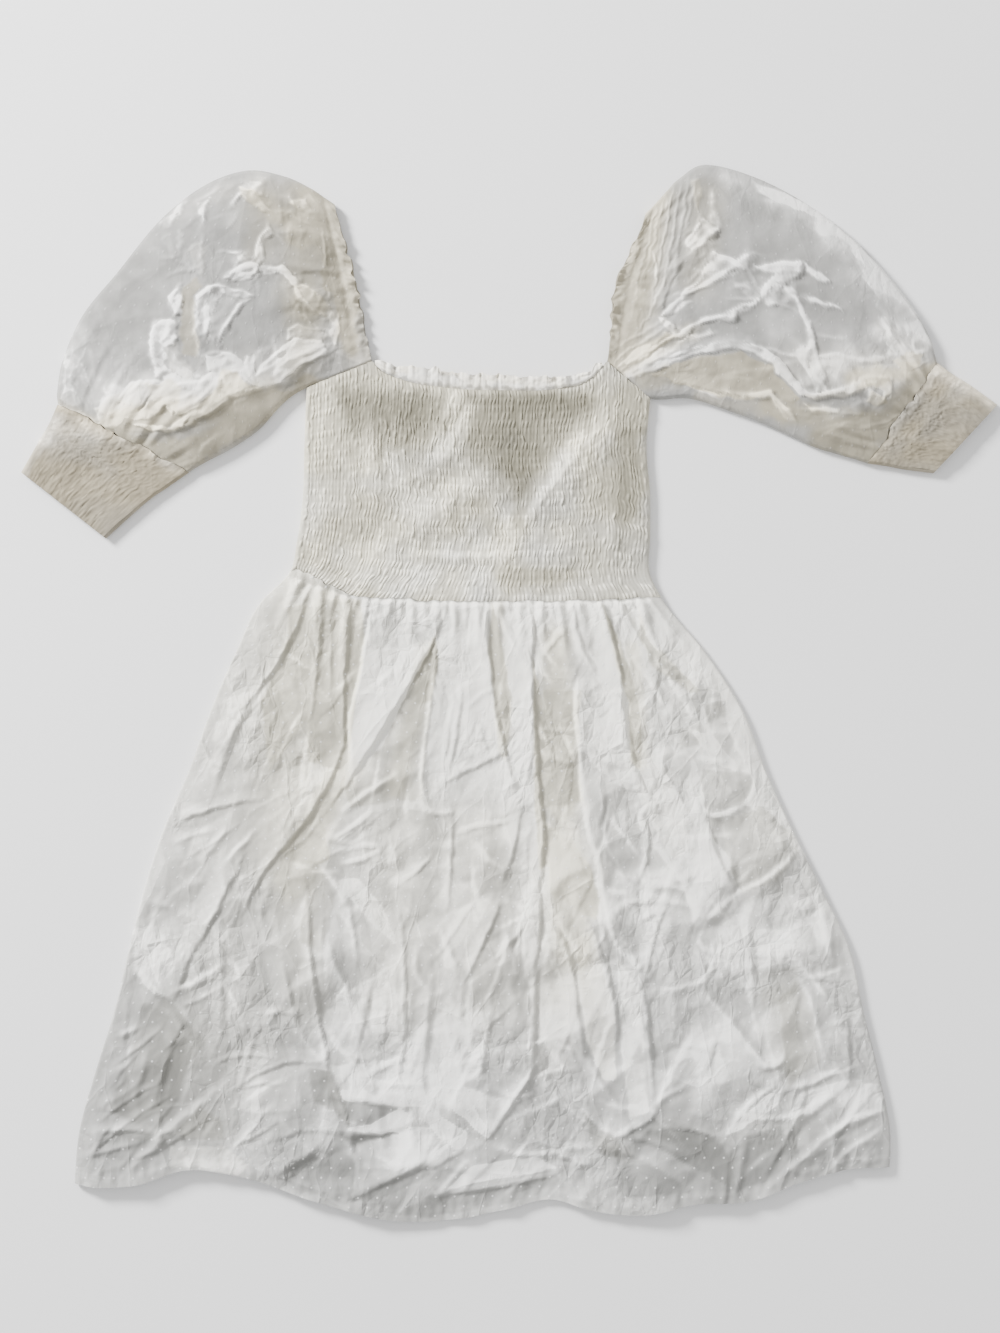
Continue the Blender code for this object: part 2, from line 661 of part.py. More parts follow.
def build_sleeve(name, sections, folds, neck_bow, side):
    """A puff sleeve: a flattened tube, gathered at the neck edge and at the cuff."""
    rows = []
    first_upper = FOLD_STEPS - 1
    last_upper = first_upper + SLEEVE_TOP_COLUMNS
    places = np.append(np.arange(PLAIN_SECTIONS),
                       np.linspace(PLAIN_SECTIONS, len(sections) - 1, SLEEVE_PUFF_ROWS + 1))
    values = [smooth_line(np.arange(len(sections)), column(sections, SLEEVE_COLUMNS, name), places)
              for name in SLEEVE_COLUMNS]
    for place, top_x, top_y, low_x, low_y, rise, gather in zip(places, *values):
        top = (top_x, top_y)
        low = (low_x, low_y)
        across, z, stations, width = tube_row(top, low, SLEEVE_FOLD_RADIUS, SLEEVE_TOP_COLUMNS,
                                              SLEEVE_UNDER_COLUMNS, FOLD_STEPS)
        points = tube_points(top, low, across, z, width)
        share = across / width
        dome = np.sin(math.pi * np.clip(share, 0.0, 1.0)) ** DOME_POWER
        on_top = (np.arange(len(across)) > first_upper) & (np.arange(len(across)) < last_upper)
        crest = (np.arange(len(across)) - first_upper) % 2 == 1
        lift = rise * dome + gather * crest
        lift += ridges(folds, points[:, 0], points[:, 1]) * min(rise / FULL_FOLD_RISE, 1.0) * dome
        points[:, 2] += np.where(on_top, lift, 0.0)
        middle = np.sin(math.pi * np.clip(share, 0.0, 1.0))
        bow = neck_bow * max(0.0, 1.0 - place / BOW_SECTIONS)
        back_set = FRONT_SET_BACK * max(0.0, 1.0 - place / PLAIN_SECTIONS)
        points[:, 0] += side * (bow * middle ** 2 - np.where(on_top, back_set * middle, 0.0))
        rows.append(points)
    outer = np.array(rows)
    inner = wall_inside(outer, COTTON_WALL, closed=True)
    rows_at = np.arange(len(rows))
    build_wall(name, (outer, rows_at, stations), (inner, rows_at, stations), SLEEVE_COLOUR,
               closed=True)


def cuff_sheet(sections, row_count, top_count, under_count):
    """Outer points of a cuff without its ribs."""
    places = np.linspace(0.0, 1.0, len(sections))
    shares = np.linspace(0.0, 1.0, row_count + 1)
    edges = [smooth_line(places, column(sections, CUFF_COLUMNS, name), shares)
             for name in CUFF_COLUMNS]
    rows = []
    for top_x, top_y, low_x, low_y in zip(*edges):
        top = (top_x, top_y)
        low = (low_x, low_y)
        across, z, stations, width = tube_row(top, low, CUFF_FOLD_RADIUS, top_count, under_count,
                                              FOLD_STEPS)
        rows.append(tube_points(top, low, across, z, width))
    return np.array(rows), shares, stations


def build_cuff(name, sections):
    """A wide smocked cuff: a flattened tube with ribs along the arm."""
    outer, rows_at, stations = cuff_sheet(sections, CUFF_RIB_ROWS, 2 * CUFF_RIBS,
                                          SLEEVE_UNDER_COLUMNS)
    first_upper = FOLD_STEPS - 1
    for row in range(outer.shape[0]):
        for place in range(2 * CUFF_RIBS + 1):
            outer[row, first_upper + place, 2] += rib_height(row, place, 2 * CUFF_RIBS)
    base, inner_rows_at, inner_stations = cuff_sheet(sections, CUFF_INNER_ROWS,
                                                     CUFF_INNER_COLUMNS, SLEEVE_UNDER_COLUMNS)
    inner = wall_inside(base, SMOCKED_WALL, closed=True)
    build_wall(name, (outer, rows_at, stations), (inner, inner_rows_at, inner_stations),
               CUFF_COLOUR, closed=True)


def centre_on_origin():
    """The middle of the laid-out dress comes to X and Y nought, its underside to Z nought."""
    solids = [thing for thing in bpy.data.objects if thing.type == "MESH"]
    corners = np.array([point.co[:] for solid in solids for point in solid.data.vertices])
    low = corners.min(axis=0)
    high = corners.max(axis=0)
    shift = np.array([(low[0] + high[0]) / 2, (low[1] + high[1]) / 2, low[2]])
    for solid in solids:
        for point in solid.data.vertices:
            point.co = [point.co[axis] - shift[axis] for axis in range(3)]


def main():
    for thing in list(bpy.data.objects):
        bpy.data.objects.remove(thing, do_unlink=True)
    build_skirt()
    build_bodice()
    build_neck_frill()
    build_sleeve("sleeve_left", LEFT_SLEEVE, LEFT_SLEEVE_FOLDS, LEFT_NECK_BOW, 1)
    build_sleeve("sleeve_right", RIGHT_SLEEVE, RIGHT_SLEEVE_FOLDS, RIGHT_NECK_BOW, -1)
    build_cuff("cuff_left", LEFT_CUFF)
    build_cuff("cuff_right", RIGHT_CUFF)
    centre_on_origin()


main()
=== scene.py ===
"""A dotted cotton peasant dress laid flat: smocked bodice, puff sleeves, gathered skirt."""
import math

import bpy
import numpy as np
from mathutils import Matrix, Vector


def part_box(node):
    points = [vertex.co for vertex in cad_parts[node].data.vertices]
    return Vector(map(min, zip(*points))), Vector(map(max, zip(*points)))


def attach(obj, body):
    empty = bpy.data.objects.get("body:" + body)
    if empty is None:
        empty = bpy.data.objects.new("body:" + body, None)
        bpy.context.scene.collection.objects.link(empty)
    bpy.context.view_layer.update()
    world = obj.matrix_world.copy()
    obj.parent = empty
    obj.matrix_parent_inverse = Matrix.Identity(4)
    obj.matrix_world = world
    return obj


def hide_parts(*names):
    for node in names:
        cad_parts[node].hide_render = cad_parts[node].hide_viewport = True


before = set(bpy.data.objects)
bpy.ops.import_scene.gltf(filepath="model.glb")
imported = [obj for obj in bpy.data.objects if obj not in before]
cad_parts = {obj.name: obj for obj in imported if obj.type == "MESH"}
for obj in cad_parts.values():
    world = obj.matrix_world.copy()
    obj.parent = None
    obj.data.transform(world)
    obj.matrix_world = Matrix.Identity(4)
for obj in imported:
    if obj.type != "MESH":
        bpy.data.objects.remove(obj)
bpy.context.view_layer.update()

MM = 0.001

# Cloth and seams, in millimetres as all tables here
CLOTH = 0.5
SMOCKED_CLOTH = 0.6
SEAM_GAP = 0.08
SKIRT_FOLD_RADIUS = 2.1
BODICE_FOLD_RADIUS = 2.4
SLEEVE_FOLD_RADIUS = 2.6
SEAM_INSET = 32.0
LEAST_HEIGHT = 2.1
SEAM_ROLL = 1.6
SEAM_RISE = 0.9

# Outline of the body, from the underarm to the hem: y, and x of its left and right folds
BODY_SECTIONS = (
    (262.0, -173.0, 123.0),
    (209.0, -175.0, 119.0),
    (171.0, -176.0, 122.0),
    (132.0, -181.0, 122.0),
    (102.0, -189.0, 122.0),
    (80.0, -211.0, 133.0),
    (37.0, -233.0, 168.0),
    (-14.0, -255.0, 201.0),
    (-66.0, -274.0, 221.0),
    (-117.0, -296.0, 244.0),
    (-169.0, -313.0, 270.0),
    (-221.0, -326.0, 294.0),
    (-272.0, -338.0, 305.0),
    (-324.0, -354.0, 318.0),
    (-375.0, -368.0, 328.0),
    (-431.0, -373.0, 326.0),
)

# Lines across the body, each as x and y
NECK_EDGE = (
    (-117.0, 285.0),
    (-93.0, 282.0),
    (-67.0, 279.0),
    (-48.0, 275.0),
    (0.0, 273.0),
    (28.0, 272.0),
    (62.0, 275.0),
    (85.0, 285.0),
)
NECK_ELASTIC = (
    (-117.0, 285.0),
    (-110.0, 278.0),
    (-93.0, 270.0),
    (-50.0, 262.0),
    (-7.0, 260.0),
    (45.0, 262.0),
    (68.0, 268.0),
    (79.0, 277.0),
    (85.0, 285.0),
)
WAIST_LINE = (
    (-200.0, 106.0),
    (-172.0, 96.0),
    (-140.0, 86.0),
    (-90.0, 81.0),
    (0.0, 79.0),
    (70.0, 80.0),
    (130.0, 83.0),
)
HEM_LINE = (
    (-375.0, -420.0),
    (-355.0, -423.0),
    (-320.0, -421.0),
    (-275.0, -408.0),
    (-235.0, -413.0),
    (-166.0, -435.0),
    (-97.0, -452.0),
    (-46.0, -451.0),
    (0.0, -442.0),
    (36.0, -434.0),
    (75.0, -444.0),
    (115.0, -447.0),
    (160.0, -438.0),
    (212.0, -434.0),
    (250.0, -419.0),
    (290.0, -408.0),
    (328.0, -406.0),
)

# Levels and the hem's narrow turning; the back of the neck lies a little below the frill
BACK_DROP = 1.5
WAIST_LEVEL = 82.0
HEM_LEVEL = -431.0
UNDERARM_LEVEL = 262.0
HEM_TURN = 9.0
HEM_EXTRA = 0.5

# Where the sleeves are sewn to the bodice: x and y of the neck corner and of the underarm
ARMHOLES = (
    (-117.0, 285.0, -176.0, 261.0),
    (85.0, 285.0, 123.0, 253.0),
)

# Sleeve sections from the neck edge to the cuff: x and y of the top and of the low fold, then
# the rise and the height of the gathers
LEFT_SLEEVE = (
    (-149.0, 420.0, -117.0, 285.0, 0.3, 0.9),
    (-158.0, 426.0, -127.0, 280.9, 0.6, 0.7),
    (-170.0, 434.0, -146.0, 273.2, 4.5, 1.6),
    (-192.0, 444.0, -176.0, 261.0, 9.5, 1.3),
    (-224.0, 449.0, -194.0, 248.0, 14.0, 0.6),
    (-261.0, 436.0, -212.0, 228.0, 17.0, 0.0),
    (-299.0, 406.0, -228.0, 216.0, 17.5, 0.0),
    (-335.0, 362.0, -243.0, 207.0, 16.0, 0.2),
    (-365.0, 325.0, -255.0, 201.0, 12.5, 0.9),
    (-382.0, 287.0, -264.0, 196.0, 7.0, 1.7),
    (-387.0, 260.0, -270.0, 192.5, 2.0, 1.8),
    (-386.5, 248.7, -273.5, 190.2, 0.4, 1.0),
)
RIGHT_SLEEVE = (
    (118.0, 412.0, 85.0, 285.0, 0.3, 0.9),
    (126.0, 420.0, 92.0, 279.1, 0.6, 0.7),
    (136.0, 431.0, 104.0, 269.0, 4.5, 1.6),
    (147.0, 442.0, 123.0, 253.0, 9.5, 1.3),
    (170.0, 454.0, 156.0, 253.0, 14.0, 0.6),
    (215.0, 442.0, 191.0, 242.0, 17.0, 0.0),
    (263.0, 416.0, 218.0, 232.0, 17.5, 0.0),
    (304.0, 383.0, 242.0, 221.0, 16.0, 0.2),
    (341.0, 340.0, 264.0, 211.0, 12.5, 0.9),
    (361.0, 308.0, 284.0, 205.0, 7.0, 1.7),
    (366.0, 292.0, 299.0, 200.5, 2.0, 1.8),
    (368.2, 284.1, 308.0, 197.6, 0.4, 1.0),
)

# Cuff sections from the sleeve to the hand: x and y of the top and of the low fold
LEFT_CUFF = (
    (-386.7, 248.3, -273.7, 189.8),
    (-394.0, 232.0, -292.0, 177.0),
    (-402.5, 217.0, -310.5, 164.0),
    (-418.0, 190.0, -345.0, 133.0),
)
RIGHT_CUFF = (
    (368.6, 283.9, 308.4, 197.4),
    (382.0, 274.0, 325.0, 195.0),
    (395.0, 266.0, 341.0, 192.0),
    (420.0, 248.0, 365.0, 189.0),
)

# The way from each sleeve into its cuff
LEFT_ARM = (-0.62, -0.78)
RIGHT_ARM = (0.85, -0.53)

# The dress lies in the frame with the middle of its box at X and Y nought
cuff_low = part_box("cuff_left")[0]
OFFSET_X = cuff_low[0] / MM - LEFT_CUFF[-1][0]
OFFSET_Y = cuff_low[1] / MM - LEFT_CUFF[-1][3]

# Gathers below the waist seam: x, lean, length, width and height
SKIRT_GATHERS = (
    (-190.0, -34.0, 50.0, 3.5, 2.4),
    (-178.0, -30.0, 66.0, 4.0, 2.8),
    (-168.0, -20.0, 38.0, 3.0, 2.0),
    (-160.0, -14.0, 85.0, 4.5, 3.0),
    (-148.0, -9.0, 42.0, 3.0, 2.4),
    (-139.0, -6.0, 110.0, 4.5, 3.4),
    (-129.0, -8.0, 34.0, 3.0, 2.2),
    (-120.0, -12.0, 60.0, 4.0, 3.2),
    (-110.0, -6.0, 28.0, 3.0, 2.4),
    (-100.0, -9.0, 48.0, 4.5, 3.4),
    (-91.0, -2.0, 24.0, 2.6, 2.2),
    (-82.0, -2.0, 64.0, 4.0, 3.0),
    (-72.0, 2.0, 30.0, 3.0, 2.6),
    (-62.0, 0.0, 34.0, 4.5, 3.8),
    (-53.0, -2.0, 26.0, 2.8, 2.4),
    (-45.0, -3.0, 72.0, 4.5, 3.2),
    (-36.0, 1.0, 32.0, 2.8, 2.4),
    (-26.0, 1.0, 56.0, 4.0, 3.6),
    (-17.0, 2.0, 28.0, 2.8, 2.2),
    (-9.0, 3.0, 84.0, 4.5, 3.0),
    (0.0, 3.0, 30.0, 3.0, 2.6),
    (9.0, 4.0, 60.0, 4.5, 3.8),
    (19.0, 5.0, 26.0, 2.8, 2.2),
    (28.0, 4.0, 46.0, 4.0, 3.2),
    (36.0, 6.0, 30.0, 2.8, 2.2),
    (44.0, 9.0, 78.0, 4.5, 3.6),
    (53.0, 8.0, 26.0, 2.8, 2.4),
    (61.0, 8.0, 52.0, 4.0, 3.2),
    (70.0, 13.0, 34.0, 3.0, 2.4),
    (78.0, 16.0, 66.0, 4.5, 3.8),
    (86.0, 14.0, 26.0, 2.8, 2.4),
    (94.0, 17.0, 48.0, 4.0, 3.2),
    (103.0, 22.0, 36.0, 3.0, 2.6),
    (111.0, 26.0, 70.0, 4.0, 3.2),
    (120.0, 30.0, 40.0, 3.0, 2.2),
)

# The photograph looks straight down: millimetres in one of its pixels, and the pixel at nought
PHOTO_SCALE = 0.86
PHOTO_X = 508.0
PHOTO_Y = 693.5

# Creases, placed in the photograph's pixels: a curved crest from its start past a middle
# point to its end. It falls away over one width on its left hand, as one walks along it, and
# another on its right hand; widths and height are in millimetres, and gleam whitens its crest.
# Each row: x and y of start, middle and end, left and right width, height, gleam.
# Gleam is a painted highlight along each crest; the sleeve creases use it too.
SKIRT_CREASES = (
    (89, 1153, 127, 1120, 169, 1095, 6, 2.4, 2.0, 0.4),
    (135, 1157, 169, 1145, 202, 1120, 6, 2.4, 1.9, 0.4),
    (102, 1120, 127, 1095, 160, 1082, 5, 2.4, 1.8, 0.3),
    (119, 1062, 139, 1049, 160, 1028, 5, 2.4, 1.8, 0.3),
    (160, 1003, 185, 1024, 202, 1053, 2.4, 6, 2.0, 0.2),
    (177, 1120, 189, 1153, 194, 1174, 2.4, 5, 1.6, 0.2),
    (219, 1062, 244, 1049, 277, 1057, 5, 2.4, 1.7, 0.3),
    (231, 1145, 256, 1137, 277, 1120, 5, 2.4, 1.7, 0.3),
    (285, 1120, 302, 1145, 327, 1157, 2.4, 5, 1.8, 0.3),
    (494, 1145, 527, 1157, 569, 1149, 2.4, 6, 2.0, 0.4),
    (544, 1078, 577, 1120, 610, 1137, 2.4, 6, 2.0, 0.3),
    (652, 1128, 694, 1120, 735, 1145, 5, 2.4, 1.8, 0.3),
    (735, 1112, 785, 1128, 827, 1095, 2.4, 6, 2.0, 0.4),
    (827, 1145, 852, 1112, 881, 1078, 6, 2.4, 1.9, 0.4),
    (98, 1010, 112, 990, 134, 978, 5, 2.4, 1.7, 0.3),
    (846, 1010, 860, 1030, 880, 1040, 2.4, 5, 1.7, 0.3),
    (436, 634, 402, 700, 345, 786, 3.4, 17, 5.2, 0.5),
    (374, 600, 366, 660, 352, 716, 12, 3.4, 3.4, 0.3),
    (352, 714, 350, 745, 354, 776, 9, 3.4, 2.8, 0.2),
    (436, 640, 434, 690, 424, 750, 10, 3.4, 3.0, 0.2),
    (424, 748, 420, 780, 424, 806, 9, 3.4, 2.6, 0.2),
    (487, 600, 486, 650, 494, 704, 3.4, 9, 3.6, 0.4),
    (494, 702, 500, 740, 516, 790, 3.4, 10, 3.0, 0.2),
    (350, 604, 342, 690, 344, 746, 3.4, 6, 2.8, 0.1),
    (344, 744, 330, 792, 284, 848, 3.4, 12, 4.0, 0.3),
    (284, 846, 264, 866, 246, 906, 3.4, 12, 3.0, 0.1),
    (322, 604, 320, 650, 311, 716, 4, 5, 2.6, 0.1),
    (332, 622, 330, 656, 332, 690, 3.4, 5, 2.0, 0.1),
    (304, 606, 290, 654, 248, 702, 4, 9, 3.4, 0.3),
    (250, 700, 226, 740, 212, 800, 5, 12, 2.6, 0.1),
    (292, 655, 304, 664, 314, 672, 3.4, 5, 1.8, 0.4),
    (178, 824, 206, 804, 262, 798, 7, 3.4, 2.6, 0.2),
    (176, 842, 196, 832, 214, 830, 5, 3.4, 1.6, 0.1),
    (203, 862, 214, 842, 226, 832, 5, 4, 1.8, 0.2),
    (228, 862, 240, 846, 256, 830, 4, 5, 2.0, 0.3),
    (344, 810, 364, 794, 396, 774, 4, 5, 2.4, 0.5),
    (338, 836, 358, 826, 372, 812, 4, 4, 2.0, 0.3),
    (420, 800, 428, 818, 452, 812, 4, 4, 2.2, 0.2),
    (452, 810, 452, 852, 448, 906, 3.4, 7, 2.6, 0.2),
    (458, 832, 480, 824, 506, 822, 4, 3.4, 2.0, 0.4),
    (446, 780, 478, 764, 504, 752, 6, 3.4, 2.6, 0.3),
    (462, 690, 458, 726, 448, 772, 3.4, 5, 2.2, 0.2),
    (454, 700, 450, 730, 444, 756, 3.4, 4, 1.6, 0.1),
    (432, 676, 448, 688, 458, 706, 4, 3.4, 1.8, 0.3),
    (468, 706, 478, 696, 492, 690, 3.4, 4, 1.6, 0.3),
    (432, 650, 446, 658, 458, 660, 3.4, 3.4, 1.6, 0.3),
    (478, 845, 492, 862, 506, 871, 4, 6, 2.8, 0.3),
    (506, 871, 514, 848, 520, 806, 9, 3.4, 2.8, 0.3),
    (342, 852, 360, 844, 380, 848, 4, 3.4, 2.2, 0.5),
    (344, 862, 362, 860, 380, 852, 3.4, 4, 2.0, 0.3),
    (322, 866, 340, 886, 346, 904, 6, 3.4, 2.6, 0.2),
    (528, 600, 536, 632, 530, 662, 3.4, 10, 3.6, 0.4),
    (530, 660, 532, 730, 540, 800, 3.4, 14, 5.0, 0.5),
    (540, 798, 546, 850, 538, 884, 3.4, 14, 4.8, 0.4),
    (538, 882, 542, 930, 534, 968, 3.4, 14, 4.4, 0.3),
    (534, 966, 534, 1020, 530, 1074, 4, 16, 4.2, 0.3),
    (530, 1072, 510, 1104, 488, 1136, 4, 10, 3.2, 0.2),
    (500, 608, 508, 640, 524, 660, 5, 3.4, 2.2, 0.3),
    (540, 612, 552, 632, 566, 636, 4, 5, 2.0, 0.3),
    (566, 628, 552, 640, 546, 654, 3.4, 5, 2.0, 0.3),
    (573, 602, 570, 636, 592, 668, 4, 6, 3.0, 0.3),
    (576, 690, 575, 720, 579, 742, 10, 3.4, 3.4, 0.6),
    (579, 740, 580, 800, 598, 862, 12, 3.4, 4.0, 0.3),
    (598, 860, 606, 920, 616, 944, 14, 3.4, 3.8, 0.3),
    (616, 942, 626, 958, 642, 968, 8, 4, 3.0, 0.4),
    (600, 602, 612, 640, 620, 676, 3.4, 12, 4.0, 0.5),
    (620, 674, 622, 720, 632, 762, 3.4, 14, 4.6, 0.5),
    (632, 760, 640, 788, 654, 802, 3.4, 10, 3.4, 0.5),
    (654, 802, 640, 806, 640, 826, 6, 3.4, 2.4, 0.3),
    (637, 604, 646, 640, 668, 662, 10, 3.4, 3.2, 0.3),
    (666, 660, 690, 680, 716, 692, 10, 4, 3.0, 0.3),
    (622, 604, 632, 634, 648, 652, 3.4, 6, 2.6, 0.4),
    (634, 660, 650, 676, 662, 702, 5, 3.4, 2.6, 0.5),
    (656, 662, 680, 690, 692, 716, 6, 3.4, 2.4, 0.4),
    (604, 695, 614, 692, 626, 693, 3.4, 3.4, 1.6, 0.5),
    (690, 730, 710, 742, 736, 768, 4, 5, 2.8, 0.6),
    (700, 758, 716, 764, 726, 762, 4, 4, 1.8, 0.4),
    (702, 812, 724, 822, 748, 800, 4, 5, 2.4, 0.3),
    (748, 802, 756, 790, 756, 772, 4, 5, 2.2, 0.3),
    (703, 816, 716, 856, 732, 890, 3.4, 14, 3.8, 0.3),
    (734, 892, 756, 892, 798, 848, 4, 8, 3.0, 0.4),
    (662, 768, 676, 790, 686, 812, 3.4, 8, 2.8, 0.2),
    (645, 820, 652, 850, 638, 880, 3.4, 5, 2.4, 0.3),
    (608, 818, 628, 838, 644, 862, 6, 3.4, 2.4, 0.3),
    (655, 846, 674, 862, 692, 890, 7, 3.4, 2.8, 0.4),
    (540, 748, 552, 764, 578, 762, 4, 3.4, 1.4, 0.1),
    (542, 728, 560, 732, 578, 728, 3.4, 4, 1.4, 0.1),
    (545, 824, 566, 838, 588, 864, 5, 3.4, 2.0, 0.1),
    (580, 738, 594, 766, 620, 764, 5, 4, 2.4, 0.4),
    (684, 884, 694, 908, 706, 918, 8, 4, 2.8, 0.4),
    (706, 918, 722, 908, 738, 892, 4, 8, 2.8, 0.4),
    (614, 908, 650, 890, 694, 906, 5, 5, 2.2, 0.3),
    (666, 904, 648, 936, 648, 972, 3.4, 10, 2.8, 0.2),
    (309, 896, 310, 970, 320, 1016, 3.6, 16, 4.4, 0.2),
    (320, 1014, 322, 1040, 330, 1064, 3.6, 12, 4.0, 0.4),
    (296, 1018, 306, 1044, 326, 1062, 3.4, 6, 2.6, 0.2),
    (284, 960, 290, 1000, 302, 1030, 3.4, 9, 2.4, 0.2),
    (328, 1062, 270, 1052, 234, 1090, 3.4, 12, 2.6, 0.2),
    (326, 1064, 340, 1090, 346, 1118, 8, 4, 3.0, 0.2),
    (338, 1096, 368, 1096, 404, 1106, 9, 4, 3.2, 0.6),
    (345, 1132, 372, 1136, 404, 1126, 10, 3.4, 3.2, 0.5),
    (350, 1142, 356, 1154, 360, 1166, 4, 4, 1.8, 0.3),
    (342, 1128, 306, 1122, 272, 1140, 4, 8, 2.0, 0.2),
    (219, 1139, 246, 1158, 270, 1174, 10, 4, 2.2, 0.1),
    (270, 1174, 300, 1164, 325, 1136, 10, 4, 2.4, 0.2),
    (250, 1132, 258, 1116, 274, 1106, 4, 5, 1.6, 0.1),
    (290, 1178, 320, 1190, 352, 1196, 10, 4, 2.8, 0.2),
    (352, 1196, 386, 1180, 426, 1158, 10, 4, 3.2, 0.2),
    (133, 964, 146, 988, 172, 998, 12, 4, 3.6, 0.6),
    (170, 997, 186, 1010, 197, 1030, 10, 4, 3.0, 0.5),
    (240, 866, 208, 926, 190, 958, 4, 14, 3.8, 0.2),
    (191, 956, 182, 974, 178, 992, 4, 10, 3.0, 0.2),
    (174, 992, 196, 984, 224, 964, 4, 5, 2.4, 0.5),
    (184, 1004, 204, 998, 216, 988, 4, 4, 2.0, 0.3),
    (216, 1090, 190, 1114, 162, 1132, 16, 5, 4.0, 0.2),
    (84, 1156, 112, 1146, 142, 1140, 5, 4, 2.4, 0.3),
    (90, 1132, 124, 1122, 162, 1132, 5, 4, 2.4, 0.2),
    (130, 1168, 152, 1150, 176, 1122, 5, 6, 2.6, 0.2),
    (104, 1104, 126, 1094, 140, 1080, 5, 5, 2.0, 0.2),
    (118, 1034, 128, 1032, 140, 1026, 4, 4, 2.0, 0.5),
    (148, 1050, 142, 1072, 136, 1100, 5, 6, 2.0, 0.1),
    (172, 1040, 164, 1072, 152, 1110, 5, 7, 2.2, 0.1),
    (402, 924, 408, 1000, 401, 1072, 3.4, 12, 3.4, 0.2),
    (336, 880, 364, 906, 394, 938, 3.4, 10, 3.4, 0.5),
    (371, 984, 366, 1016, 357, 1048, 3.4, 8, 2.2, 0.1),
    (432, 976, 424, 1034, 420, 1094, 5, 8, 2.6, 0.2),
    (416, 948, 412, 974, 428, 986, 5, 4, 2.0, 0.2),
    (348, 898, 356, 930, 358, 962, 3.4, 7, 2.4, 0.2),
    (328, 938, 336, 966, 350, 990, 4, 7, 2.2, 0.2),
    (224, 984, 234, 996, 242, 1012, 4, 4, 1.8, 0.4),
    (232, 960, 240, 966, 240, 980, 4, 4, 1.8, 0.4),
    (219, 932, 222, 990, 222, 1050, 5, 7, 2.2, 0.1),
    (300, 1014, 290, 1006, 254, 1014, 4, 5, 2.0, 0.4),
    (262, 1020, 250, 1046, 244, 1072, 4, 6, 2.2, 0.2),
    (264, 930, 258, 914, 270, 886, 5, 5, 2.0, 0.2),
    (370, 1072, 386, 1064, 404, 1056, 4, 4, 2.2, 0.4),
    (380, 1084, 402, 1082, 422, 1084, 4, 4, 2.0, 0.5),
    (580, 1050, 600, 1084, 626, 1118, 5, 9, 3.2, 0.2),
    (556, 928, 574, 964, 577, 1010, 4, 10, 3.2, 0.2),
    (577, 1008, 579, 1034, 582, 1052, 4, 10, 2.8, 0.2),
    (540, 880, 562, 934, 598, 974, 8, 3.4, 3.0, 0.2),
    (592, 930, 614, 984, 617, 1044, 4, 12, 3.6, 0.3),
    (637, 964, 650, 1020, 652, 1112, 4, 12, 3.8, 0.3),
    (583, 1110, 598, 1128, 618, 1134, 10, 4, 3.0, 0.3),
    (618, 1134, 636, 1128, 652, 1114, 10, 4, 3.0, 0.3),
    (618, 1136, 656, 1134, 692, 1156, 5, 10, 3.0, 0.2),
    (690, 1154, 710, 1168, 734, 1188, 5, 12, 3.2, 0.2),
    (746, 1130, 744, 1160, 734, 1188, 5, 6, 2.4, 0.1),
    (707, 994, 736, 1028, 764, 1064, 5, 14, 3.8, 0.3),
    (764, 1066, 780, 1066, 784, 1052, 8, 4, 2.6, 0.2),
    (782, 1078, 748, 1098, 725, 1136, 12, 5, 3.8, 0.4),
    (800, 962, 814, 984, 832, 1002, 5, 6, 2.6, 0.4),
    (845, 1018, 848, 1048, 847, 1082, 4, 8, 2.6, 0.2),
    (886, 1110, 850, 1112, 820, 1140, 6, 4, 2.8, 0.4),
    (822, 1138, 800, 1158, 770, 1184, 7, 5, 2.8, 0.2),
    (882, 1128, 852, 1140, 826, 1170, 8, 4, 2.6, 0.2),
    (804, 1090, 790, 1130, 768, 1166, 5, 8, 2.8, 0.2),
    (848, 1078, 814, 1108, 794, 1122, 6, 6, 2.4, 0.2),
    (842, 1064, 814, 1084, 784, 1088, 4, 5, 2.2, 0.3),
    (814, 888, 826, 926, 830, 962, 5, 5, 2.4, 0.6),
    (440, 1080, 462, 1104, 490, 1137, 4, 10, 3.6, 0.6),
    (424, 1104, 444, 1122, 461, 1146, 8, 8, 3.2, 0.6),
    (496, 1088, 514, 1100, 532, 1092, 4, 4, 2.2, 0.3),
    (438, 1196, 452, 1176, 466, 1162, 4, 6, 2.2, 0.2),
    (436, 1192, 500, 1186, 556, 1172, 8, 4, 3.2, 0.3),
    (545, 1140, 566, 1160, 592, 1164, 5, 5, 2.4, 0.3),
    (546, 1140, 576, 1152, 602, 1142, 5, 5, 2.2, 0.2),
    (500, 900, 486, 936, 466, 978, 4, 8, 2.8, 0.2),
    (500, 900, 520, 900, 538, 922, 4, 8, 2.4, 0.2),
    (528, 918, 512, 938, 496, 956, 4, 5, 2.0, 0.2),
    (443, 930, 452, 958, 464, 976, 4, 6, 2.2, 0.1),
    (492, 1000, 486, 1044, 478, 1084, 4, 7, 2.2, 0.1),
    (450, 1000, 466, 1020, 470, 1044, 5, 6, 2.0, 0.1),
    (654, 1112, 666, 1078, 698, 1028, 5, 7, 2.4, 0.2),
    (654, 1104, 670, 1088, 692, 1082, 4, 5, 2.0, 0.2),
    (749, 940, 750, 1000, 758, 1046, 5, 9, 2.6, 0.2),
    (798, 974, 818, 1010, 818, 1052, 6, 5, 2.4, 0.2),
    (698, 940, 706, 952, 722, 956, 4, 4, 2.2, 0.3),
    (708, 958, 716, 964, 706, 976, 4, 4, 1.8, 0.2),
    (412, 1112, 408, 1140, 424, 1160, 6, 4, 2.4, 0.3),
    (380, 1100, 376, 1120, 384, 1150, 6, 6, 2.0, 0.2),
    (160, 900, 152, 930, 138, 952, 8, 5, 2.4, 0.2),
    (146, 900, 176, 906, 196, 920, 8, 5, 1.8, 0.1),
